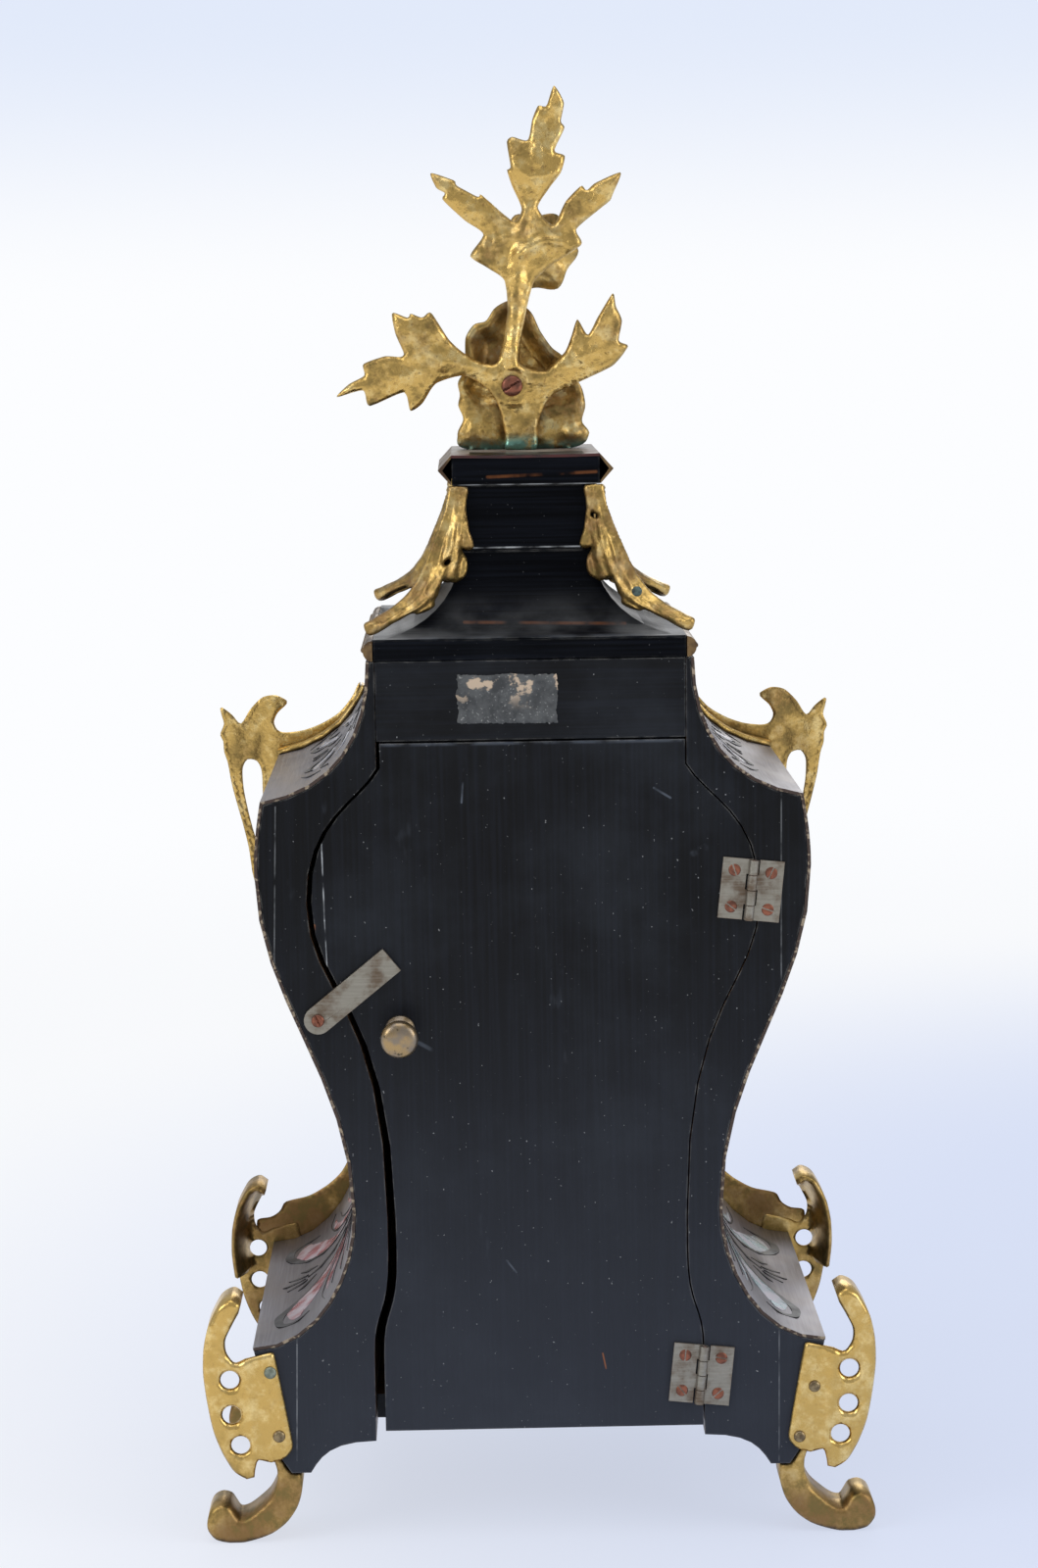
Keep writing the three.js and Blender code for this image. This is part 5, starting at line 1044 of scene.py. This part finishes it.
FLARE_BEND = bend_line([(90.8, 65), (69.35, 65), (58.3, 89.5), (58.3, 108)], 25)
SHOULDER_BEND = bend_line([(84.2, 239.5), (61.0, 243.4), (50.6, 259.7), (50.6, 282.4)], 25)
WAIST_BEND = bend_line([(58.3, 108), (58.3, 154.1), (86.5, 175.9), (86.5, 217)], 25)
# Scrolls as [across, up] points from the middle of a bend's lower edge, with a width at each.
FLARE_BLACK = [
    ([(8, 38), (13, 25), (23, 13.5), (33, 7.5), (42, 8), (45.5, 13), (43.5, 19)],
     [0.3, 0.8, 1.3, 1.9, 2.1, 1.5, 0.3]), ([(0, 38), (0.8, 26), (0, 16)], [0.3, 0.8, 0.5]),
    ([(0, 15), (0, 6.5)], [0.2, 1.3, 0.2]), ([(2.6, 16), (5.6, 8.4)], [0.2, 1.3, 0.2]),
    ([(4.6, 20), (10.4, 12.6)], [0.2, 1.2, 0.2]),
    ([(13, 33), (21, 23.5), (31, 17), (38, 16.4)], [0.1, 0.25, 0.25, 0.1]),
    ([(15, 30), (24, 19), (33, 12.5), (39, 12)], [0.1, 0.3, 0.3, 0.1]),
    ([(5, 46), (14, 36), (26, 28), (40, 25), (50, 27)], [0.1, 0.35, 0.4, 0.3, 0.1]),
    ([(6, 50), (17, 40), (29, 33), (42, 30.5)], [0.1, 0.35, 0.3, 0.1]),
    ([(10, 52), (20, 45), (32, 39), (46, 37)], [0.1, 0.3, 0.35, 0.1]),
    ([(2, 50), (4, 42), (9, 33)], [0.1, 0.3, 0.1]),
    ([(24, 50), (36, 45), (48, 44)], [0.1, 0.3, 0.1])]
FLARE_SHELL = [
    ([(10, 37), (14, 28.5), (22, 20.5), (31, 15.2), (38, 13.6), (41.5, 14)],
     [0.5, 2.6, 5.4, 7.2, 6.2, 1.6]),
    ([(10, 43), (20, 33.5), (30, 28.6), (40, 27.6)], [0.4, 1.5, 1.7, 0.4]),
    ([(14, 48), (26, 40.5), (40, 36.6)], [0.4, 1.7, 0.4])]
SHOULDER_BLACK = [
    ([(6, 27), (9, 22), (15, 20), (19, 15.5), (25, 14), (28, 16.5)],
     [0.4, 1.1, 0.8, 1.3, 1.6, 0.4]),
    ([(24, 25), (30, 21), (38, 20), (43, 23)], [0.3, 0.9, 0.6, 0.3]),
    ([(33, 12.5), (40, 15), (45, 20)], [0.3, 0.6, 0.3]),
    ([(9, 33), (18, 29), (28, 28.5)], [0.3, 0.6, 0.3]),
    ([(4, 40), (14, 35), (26, 34)], [0.3, 0.6, 0.3]),
    ([(20, 45), (30, 39), (42, 37)], [0.3, 0.5, 0.3]), ([(2, 21), (3, 15)], [0.4, 1.0])]
SHOULDER_SHELL = [
    ([(10, 24.5), (18, 22.6), (26, 17.5), (32, 18)], [0.5, 1.8, 2.4, 0.8]),
    ([(12, 31), (24, 31), (36, 26)], [0.5, 1.8, 0.6])]
WAIST_BLACK = [
    ([(4, 8), (12, 20), (26, 30), (38, 46), (36, 62), (26, 66), (22, 58)],
     [0.4, 1.2, 1.8, 2.4, 1.8, 1.0, 0.4]), ([(2, 30), (8, 42), (20, 50)], [0.4, 1.2, 0.3]),
    ([(1, 100), (10, 92), (24, 90), (38, 80)], [0.4, 1.4, 2.0, 0.4]),
    ([(2, 84), (12, 78), (22, 78)], [0.3, 1.0, 0.3]),
    ([(40, 20), (46, 34), (48, 50)], [0.3, 1.2, 0.3]),
    ([(44, 64), (48, 76), (44, 92)], [0.3, 1.2, 0.3])]
WAIST_SHELL = [
    ([(3, 14), (10, 26), (22, 36), (31, 48), (29, 56)], [0.5, 1.8, 3.2, 2.4, 0.6]),
    ([(4, 94), (12, 86), (24, 84)], [0.5, 2.2, 0.6]), ([(1, 50), (1, 66)], [2.6, 0.5])]
INLAY_BROAD = 1.6  # how much broader each scroll is laid than it is listed
INLAY_SUNK = -0.4
BLACK_PROUD, SHELL_PROUD = 0.34, 0.26


def inlay(name, bends, side, proud, material):
    """Filled scrolls, each a thin strip let into the bent sheet and mirrored about its middle."""
    points, faces = [], []
    section = ((1, proud), (-1, proud), (-1, INLAY_SUNK), (1, INLAY_SUNK))
    for bend, scrolls in bends:
        walk = np.concatenate([[0], np.cumsum(np.hypot(*np.diff(bend, axis=0).T))])
        out_way = square_to(bend)

        def on_sheet(across, up, height):
            x, z = (np.interp(up, walk, bend[:, k]) + height * np.interp(up, walk, out_way[:, k])
                    for k in (0, 1))
            return (side * x, across, z)

        for half in (1, -1):
            for path, widths in scrolls:
                line = soft_line(path, 0.7, closed=False)
                last = len(line) - 1
                wide = INLAY_BROAD * np.interp(np.linspace(0, 1, len(line)),
                                               np.linspace(0, 1, len(widths)), widths)
                start = len(points)
                for spot, out_by, width in zip(line, -square_to(line), wide):
                    for edge, height in section:
                        flat = spot + out_by * edge * width / 2
                        points.append(on_sheet(half * flat[0], flat[1], height))
                faces += wrap(start, last, 4)
                faces += [tuple(end + k for k in range(4)) for end in (start, start + 4 * last)]
    made = mesh_piece(name, points, faces, material, smooth=False)
    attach(made, "case")


black_fill = coloured("black_fill", ((16, 15, 17), (34, 30, 32)), 0.4)
shell_looks = {"left": coloured("red_shell", ((176, 104, 110), (202, 188, 194)), 0.3, 0.3, 150.0),
               "right": coloured("grey_shell", ((160, 184, 190), (204, 198, 208)), 0.3, 0.3, 150.0)}
silver_shell = coloured("silver_shell", ((206, 208, 222), (150, 150, 160)), 0.26, 0.5, 320.0)
for side, left_right in SIDES:
    inlay(f"black_scrolls_{side}", [(FLARE_BEND, FLARE_BLACK), (SHOULDER_BEND, SHOULDER_BLACK),
                                   (WAIST_BEND, WAIST_BLACK)], left_right, BLACK_PROUD, black_fill)
    inlay(f"shell_scrolls_{side}", [(FLARE_BEND, FLARE_SHELL), (WAIST_BEND, WAIST_SHELL)],
          left_right, SHELL_PROUD, shell_looks[side])
    inlay(f"silver_scrolls_{side}", [(SHOULDER_BEND, SHOULDER_SHELL)], left_right, SHELL_PROUD,
          silver_shell)


# ---- Brass strips round the caddy.
# A folded strip stands off the cap like a V, and a half-round strip with a row of beads lies
# round the plate. Both are nailed to the front and the sides only.
old_brass = coloured("old_brass", ((128, 104, 72), (84, 66, 52)), 0.42, 0.85, 240.0)
dress(old_brass, "cap_strip", "plate_strip", eased=0.15)
BEAD_STEP, BEAD_RADIUS = 2.3, 0.85
BEAD_FRONT = -63.25
BEAD_RINGS, BEAD_SIDES = 5, 8
strip_low, strip_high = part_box("plate_strip")
crown_x, crown_z = strip_high.x / MM - 0.15, (strip_low.z + strip_high.z) / 2 / MM
spots = [(sign * crown_x, -58.5 + i * BEAD_STEP, crown_z) for sign in (1, -1) for i in range(51)]
spots += [(-48 + i * BEAD_STEP, BEAD_FRONT, crown_z) for i in range(42)]
bead_points, bead_faces = [], []
for x, y, z in spots:
    start = len(bead_points)
    last = start + BEAD_SIDES * (BEAD_RINGS - 1)
    for i in range(1, BEAD_RINGS + 1):
        up = pi * i / (BEAD_RINGS + 1) - pi / 2
        for k in range(BEAD_SIDES):
            turn = 2 * pi * k / BEAD_SIDES
            bead_points.append((x + BEAD_RADIUS * cos(up) * cos(turn),
                                y + BEAD_RADIUS * cos(up) * sin(turn), z + BEAD_RADIUS * sin(up)))
    bead_faces += wrap(start, BEAD_RINGS - 1, BEAD_SIDES)
    bead_faces += [tuple(range(start, start + BEAD_SIDES))[::-1],
                   tuple(range(last, last + BEAD_SIDES))]
beads = mesh_piece("plate_beads", bead_points, bead_faces, old_brass)
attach(beads, "case")


# ---- Hinges and turn button.
# Plain nickel-plated steel gone grey and brown, held by slotted copper-coloured screws.
NICKEL, NICKEL_BROWN = srgb(142, 138, 128), srgb(108, 92, 76)
NICKEL_RUBBED, NICKEL_EDGE = srgb(182, 178, 168), srgb(146, 116, 98)
nickel_look, tree = blank("old_nickel")
stain = mask(tree, speckle(tree, 130, 5.0, rough=0.65), 0.42, 0.68)
rubs = use(tree, brush_marks, Along=(0.06, 1, 1), Fineness=1600.0)["Mask"]
worn = use(tree, sharp_edge, Width=0.0005, Breakup=400.0)["Mask"]
tint = layer(tree, stain, NICKEL, NICKEL_BROWN)
tint = layer(tree, times(tree, rubs, 0.25), tint, NICKEL_RUBBED)
surface(tree, layer(tree, times(tree, worn, 0.6), tint, NICKEL_EDGE), Metallic=0.8,
        Roughness=between(tree, stain, 0.32, 0.55), Normal=relief(tree, rubs, 0.25, 0.0001))
dress(nickel_look, "turn_button", "hinge_leaf_door_upper", "hinge_leaf_door_lower",
      "hinge_leaf_case_upper", "hinge_leaf_case_lower", eased=0.18)
pin_look = coloured("worn_pin", ((156, 128, 114), (104, 84, 74)), 0.4, 0.8, 340.0)
dress(pin_look, "hinge_pin_upper", "hinge_pin_lower", eased=0.18)

screw_copper = coloured("screw_copper", ((150, 94, 74), (106, 70, 58)), 0.38, 0.8, 420.0)
SLOT_HALF = 0.24


def settle(made, body, stands_for=None):
    """Puts a turned or sawn piece on its body, and hides the part that it stands for."""
    if stands_for:
        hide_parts(stands_for)
    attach(made, body)


def slotted_screw(name, centre, radius, seat, tall, slot_turn, body, material,
                  stands_for=None):
    """A screw head with a domed top and a sawn slot, facing the back."""
    turn = radians(slot_turn)
    along, across = np.array([cos(turn), sin(turn)]), np.array([-sin(turn), cos(turn)])

    def faces(flat, depth):
        top = tall * (0.45 + 0.55 * rounded(depth, radius * 0.75))
        sawn = abs((flat - centre) @ across) < SLOT_HALF
        return np.where(sawn, tall * 0.1, top), np.full(len(flat), -0.4)

    seams = [np.array(centre) + along * t + across * (SLOT_HALF * edge)
             for edge in (0.9, 1.1, -0.9, -1.1) for t in np.linspace(-0.9, 0.9, 9) * radius]
    made = casting(name, [circle(*centre, radius, 32)], radius / 7, faces, laid_on(seat), material,
                   seams)
    settle(made, body, stands_for)


LEAN = atan2(0.104894, 0.994483)  # how far the line of the hinge pins leans
PIN_SPOTS = {"upper": (-67.73, 209.6), "lower": (-51.3, 53.8)}
SCREW_ACROSS, SCREW_UP = 5.75, 5.8  # from the pin's middle to each screw of a hinge
HINGE_FACE, HINGE_HEAD = 61.1, 1.9
SLOT_TURNS = iter([38, 72, 20, 118, 55, 96, 140, 12])
for level, (pin_x, pin_z) in PIN_SPOTS.items():
    for corner in range(4):
        across = SCREW_ACROSS if corner < 2 else -SCREW_ACROSS
        up = SCREW_UP if corner % 2 else -SCREW_UP
        spot = (pin_x + across * cos(LEAN) - up * sin(LEAN),
                pin_z + across * sin(LEAN) + up * cos(LEAN))
        slotted_screw(f"hinge_screw_{level}_{corner + 1}", spot, HINGE_HEAD, HINGE_FACE, 0.5,
                      next(SLOT_TURNS), "rear_door" if corner < 2 else "case", screw_copper)
slotted_screw("button_screw", (67.68, 170.7), 2.0, 62.2, 0.95, 66, "case", screw_copper,
              "turn_button_screw")
slotted_screw("spray_screw", SPRAY_SCREW, 3.35, 3.1, 1.7, 148, "case", screw_copper,
              "finial_screw")


# ---- Door knob and nails.
# The knob is turned brass, plated and worn through on its face. Round-headed nails, some of
# them gone green, hold the brackets and the leaves.
def turned_piece(name, profile, centre, material, body, stands_for=None, sides=48):
    """A piece turned about a line along Y, from [radius, y] points that start and end on it."""
    turns = [2 * pi * k / sides for k in range(sides)]
    points = [(centre[0] + radius * cos(turn), y, centre[1] + radius * sin(turn))
              for radius, y in profile for turn in turns]
    made = mesh_piece(name, points, wrap(0, len(profile) - 1, sides), material)
    settle(made, body, stands_for)


KNOB_CENTRE = (42.2, 166.9)
KNOB_PROFILE = [
    (0, 54.3), (1.7, 54.3), (1.7, 60.3), (4.5, 60.3), (4.8, 60.7), (4.6, 61.3), (3.6, 61.9),
    (3.0, 63), (2.7, 65), (2.7, 67.5), (3.0, 69.8), (3.8, 71.3), (5.0, 71.9), (5.6, 72.5),
    (5.85, 73.4), (5.8, 74.4), (5.45, 75.3), (4.8, 76.0), (3.8, 76.45), (2.0, 76.7), (0, 76.75)]
KNOB_PLATED, KNOB_WORN, KNOB_PITS = srgb(142, 130, 116), srgb(170, 144, 104), srgb(88, 78, 62)
knob_look, tree = blank("worn_knob")
wear = mask(tree, speckle(tree, 210, 4.0, shift=(0.3, 0, 0.1)), 0.4, 0.64)
tint = layer(tree, wear, KNOB_PLATED, KNOB_WORN)
tint = layer(tree, mask(tree, speckle(tree, 520, 3.0), 0.6, 0.72), tint, KNOB_PITS)
surface(tree, tint, Metallic=0.9, Roughness=between(tree, wear, 0.36, 0.24))
turned_piece("turned_knob", KNOB_PROFILE, KNOB_CENTRE, knob_look, "rear_door", "door_knob",
             sides=64)

nail_look = coloured("old_nail", ((150, 132, 100), (108, 92, 70)), 0.36, 0.8, 600.0)
grey_nail = coloured("grey_nail", ((150, 158, 142), (116, 124, 112)), 0.42, 0.6, 600.0)
green_nail = coloured("green_nail", ((84, 104, 100), (52, 62, 60)), 0.6, 0.2, 700.0)
# Each nail is its middle, its radius, the level of its seat and its look.
NAILS = [
    ((85.4, 57.3), 2.0, 62.1, grey_nail), ((83.1, 36.3), 2.0, 62.1, nail_look),
    ((-87.1, 49.4), 1.9, 62.1, nail_look), ((-82.3, 32.9), 1.9, 62.1, nail_look),
    ((-33.4, 302.6), 1.6, 55.2, green_nail)]
# The head in shares of its radius, and mm from its seat.
NAIL_HEAD = [(0, -1.0), (0.9, -1.0), (1, 0.1), (0.92, 0.5), (0.6, 0.85), (0, 0.95)]
for number, (centre, radius, seat, look) in enumerate(NAILS, 1):
    profile = [(radius * share, seat + y) for share, y in NAIL_HEAD]
    turned_piece(f"nail_{number}", profile, centre, look, "case", sides=20)


# ---- The remnant of a paper label on the rail.
# Grey paper worn down to its glue, with a few torn patches of the paper's beige back. It has
# no writing left.
LABEL = [
    (22.6, 278.2), (14, 277.9), (6, 278.3), (-1, 277.8), (-8.1, 277.9), (-8.4, 272), (-7.9, 266.4),
    (-8.2, 262.8), (1, 262.9), (12, 263.0), (22.6, 263.2), (22.2, 267), (23, 271.6), (22.3, 275)]
RAIL_FACE = 60.25
paper, tree = blank("label_remnant")
grime = mask(tree, speckle(tree, 110, 5.0, rough=0.7), 0.4, 0.66)
flecks = mask(tree, speckle(tree, 1500, 2.0), 0.64, 0.72)
torn = mask(tree, speckle(tree, 120, 5.0, (1, 1, 1.3), 0.55, (0.02, 0, 0.02)), 0.56, 0.6)
torn = times(tree, torn, mask(tree, part_of(tree, on_piece(tree), "Z"), 0.2665, 0.2745))
tint = layer(tree, grime, srgb(88, 90, 91), srgb(56, 58, 60))
tint = layer(tree, flecks, tint, srgb(150, 150, 148))
surface(tree, layer(tree, torn, tint, srgb(200, 178, 154)), Roughness=0.75)


def paper_faces(flat, depth):
    return 0.16 + 0.05 * lumps(flat, 3.0, 2.0), np.full(len(flat), -0.15)


label_line = soft_line(LABEL, 0.5, soft=0.2)
label_line += np.stack([lumps(label_line, 0.9, 4.0), lumps(label_line, 0.9, 9.0)], 1) * 0.5
label = casting("label_remnant", [label_line], 1.0, paper_faces, laid_on(RAIL_FACE), paper)
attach(label, "case")


# ---- Dial, hands and glazed bezel.
# The dial is a cream enamelled sheet with painted numerals and a minute track. Blued hands
# turn in front of it, behind a domed glass in a turned brass bezel.
enamel, tree = blank("dial_enamel")
aged = mask(tree, speckle(tree, 45, 5.0, rough=0.6), 0.45, 0.75)
spotted = times(tree, mask(tree, speckle(tree, 700, 2.0), 0.7, 0.76), 0.5)
tint = layer(tree, aged, srgb(232, 226, 208), srgb(208, 196, 168))
tint = layer(tree, spotted, tint, srgb(120, 98, 70))
surface(tree, tint, Roughness=between(tree, aged, 0.22, 0.4))
dress(enamel, "dial", eased=0.1)

DIAL_MIDDLE = (0.0, 205.0)
DIAL_FACE = -50.1
PAINT_SUNK, PAINT_PROUD = 0.05, 0.07
NUMERAL_MIDDLE = 36.6
TRACK = (42.6, 45)
# Each letter is its width and its strokes: a start, an end and how broad the brush was.
STROKES = {
    "I": (2.3, [((0, -4), (0, 4), 1.15), ((-0.9, 4), (0.9, 4), 0.35), ((-0.9, -4), (0.9, -4),
     0.35)]),
    "V": (4.4, [((-1.8, 4), (0, -4), 1.25), ((1.8, 4), (0, -4), 0.45), ((-2.5, 4), (-1.0, 4), 0.35),
     ((1.1, 4), (2.5, 4), 0.35)]),
    "X": (4.6, [((-1.8, 4), (1.8, -4), 1.25), ((1.8, 4), (-1.8, -4), 0.45), ((-2.5, 4), (-1.0, 4),
     0.35), ((1.1, 4), (2.5, 4), 0.35), ((-2.5, -4), (-1.1, -4), 0.35), ((1.0, -4), (2.5, -4),
     0.35)])}
HOURS = "I II III IIII V VI VII VIII IX X XI XII".split()
mark_points, mark_faces = [], []


def painted_line(start, end, width, turn):
    """One painted stroke, given in a frame whose up points from the dial's middle outward."""
    a, b = np.array(start, float), np.array(end, float)
    way = (b - a) / np.hypot(*(b - a))
    side = np.array([-way[1], way[0]]) * width / 2
    first = len(mark_points)
    for level in (DIAL_FACE + PAINT_SUNK, DIAL_FACE - PAINT_PROUD):
        for x, z in (a - side, b - side, b + side, a + side):
            mark_points.append((DIAL_MIDDLE[0] + (x * cos(turn) + z * sin(turn)), level,
                                DIAL_MIDDLE[1] + (z * cos(turn) - x * sin(turn))))
    quads = [(0, 1, 2, 3), (7, 6, 5, 4)]
    quads += [(k, k + 4, (k + 1) % 4 + 4, (k + 1) % 4) for k in range(4)]
    mark_faces.extend(tuple(first + k for k in quad) for quad in quads)


for hour, letters in enumerate(HOURS, 1):
    reach = -sum(STROKES[letter][0] for letter in letters) / 2
    for letter in letters:
        wide, strokes = STROKES[letter]
        for (x1, z1), (x2, z2), width in strokes:
            painted_line((x1 + reach + wide / 2, z1 + NUMERAL_MIDDLE),
                         (x2 + reach + wide / 2, z2 + NUMERAL_MIDDLE), width, radians(30 * hour))
        reach += wide
for minute in range(60):
    painted_line((0, TRACK[0]), (0, TRACK[1]), 1.0 if minute % 5 == 0 else 0.4, radians(6 * minute))
    for radius in TRACK:
        half = radius * radians(3.05)
        painted_line((-half, radius), (half, radius), 0.3, radians(6 * minute + 3))
numerals = mesh_piece("dial_numerals", mark_points, mark_faces,
                      coloured("dial_black", ((22, 20, 22), (46, 40, 38)), 0.45), smooth=False)
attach(numerals, "case")

blued = coloured("blued_steel", ((34, 42, 84), (24, 26, 44)), 0.26, 0.9, 300.0)
dress(blued, "hour_hand", "minute_hand", eased=0.12)
bezel_brass = coloured("bezel_brass", ((196, 158, 92), (150, 114, 62)), 0.28, 0.95, 160.0)
dress(bezel_brass, "bezel", "bezel_hinge", eased=0.3)
glass, tree = blank("bezel_glass")
smudge = mask(tree, speckle(tree, 60, 4.0), 0.5, 0.72)
surface(tree, (0.96, 0.98, 0.97, 1), Roughness=between(tree, smudge, 0.01, 0.09), IOR=1.45,
        Transmission_Weight=1.0)
dress(glass, "dial_glass")


# ---- The mount under the dial.
# A small gilt casting nailed on the front, with a swelling middle and two curled ends.
APRON_TOP, APRON_SEAT = 144.5, 60.4
APRON_HALF = [
    (0, 0.4), (9, -0.4), (20, 2.4), (27, -2), (24, -9), (16, -11), (14, -19), (7, -26), (0, -31)]


def apron_faces(flat, depth):
    fan = np.arctan2(flat[:, 0], flat[:, 1] - APRON_TOP + 33)
    flutes = 0.6 * rounded(depth, 5) * np.cos(14 * fan)
    top = 1.1 + 1.5 * rounded(depth, 2.6) + flutes + 0.25 * lumps(flat, 4.0, 3.0)
    return top, np.full(len(flat), 0.05)


apron_edge = APRON_HALF + [(-x, z) for x, z in APRON_HALF[-2:0:-1]]
apron_line = soft_line([(x, APRON_TOP + z) for x, z in apron_edge], 1.0)
apron = casting("apron_casting", [apron_line], 1.1, apron_faces, laid_on(APRON_SEAT, 1, -1),
                gilt_bronze("gilt_apron", 0.42, 0.1, 900.0))
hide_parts("front_apron")
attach(apron, "case")


# ---- Movement, pendulum and bell.
# Round brass plates on pillars hold the barrels and wheels. The anchor and the hammer are
# steel, the bell is a pale cast metal, and the screws of the back plate are slotted.
clock_brass = coloured("clock_brass", ((188, 154, 96), (142, 110, 66)), 0.32, 0.95, 90.0)
clock_steel = coloured("clock_steel", ((164, 164, 168), (112, 110, 114)), 0.32, 0.95, 140.0)
bell_metal = coloured("bell_metal", ((190, 180, 158), (150, 134, 108)), 0.24, 0.95, 70.0)
dress(clock_brass, "movement_front_plate", "movement_back_plate", "going_barrel", "strike_barrel",
      "centre_wheel", "escape_wheel", "pendulum_cock", "pendulum", eased=0.1)
dress(clock_steel, "anchor", "hammer", eased=0.12)
dress(bell_metal, "bell", eased=0.15)
PILLAR_TURNS = (55, 125, 195, 270, 345)
PILLAR_AT = 37.0
PLATE_FACE = -2.5
for number, round_by in enumerate(PILLAR_TURNS):
    spot = (PILLAR_AT * cos(radians(round_by)), DIAL_MIDDLE[1] + PILLAR_AT * sin(radians(round_by)))
    slotted_screw(f"plate_screw_{number + 1}", spot, 2.1, PLATE_FACE, 0.9, 37 * number, "case",
                  blued)
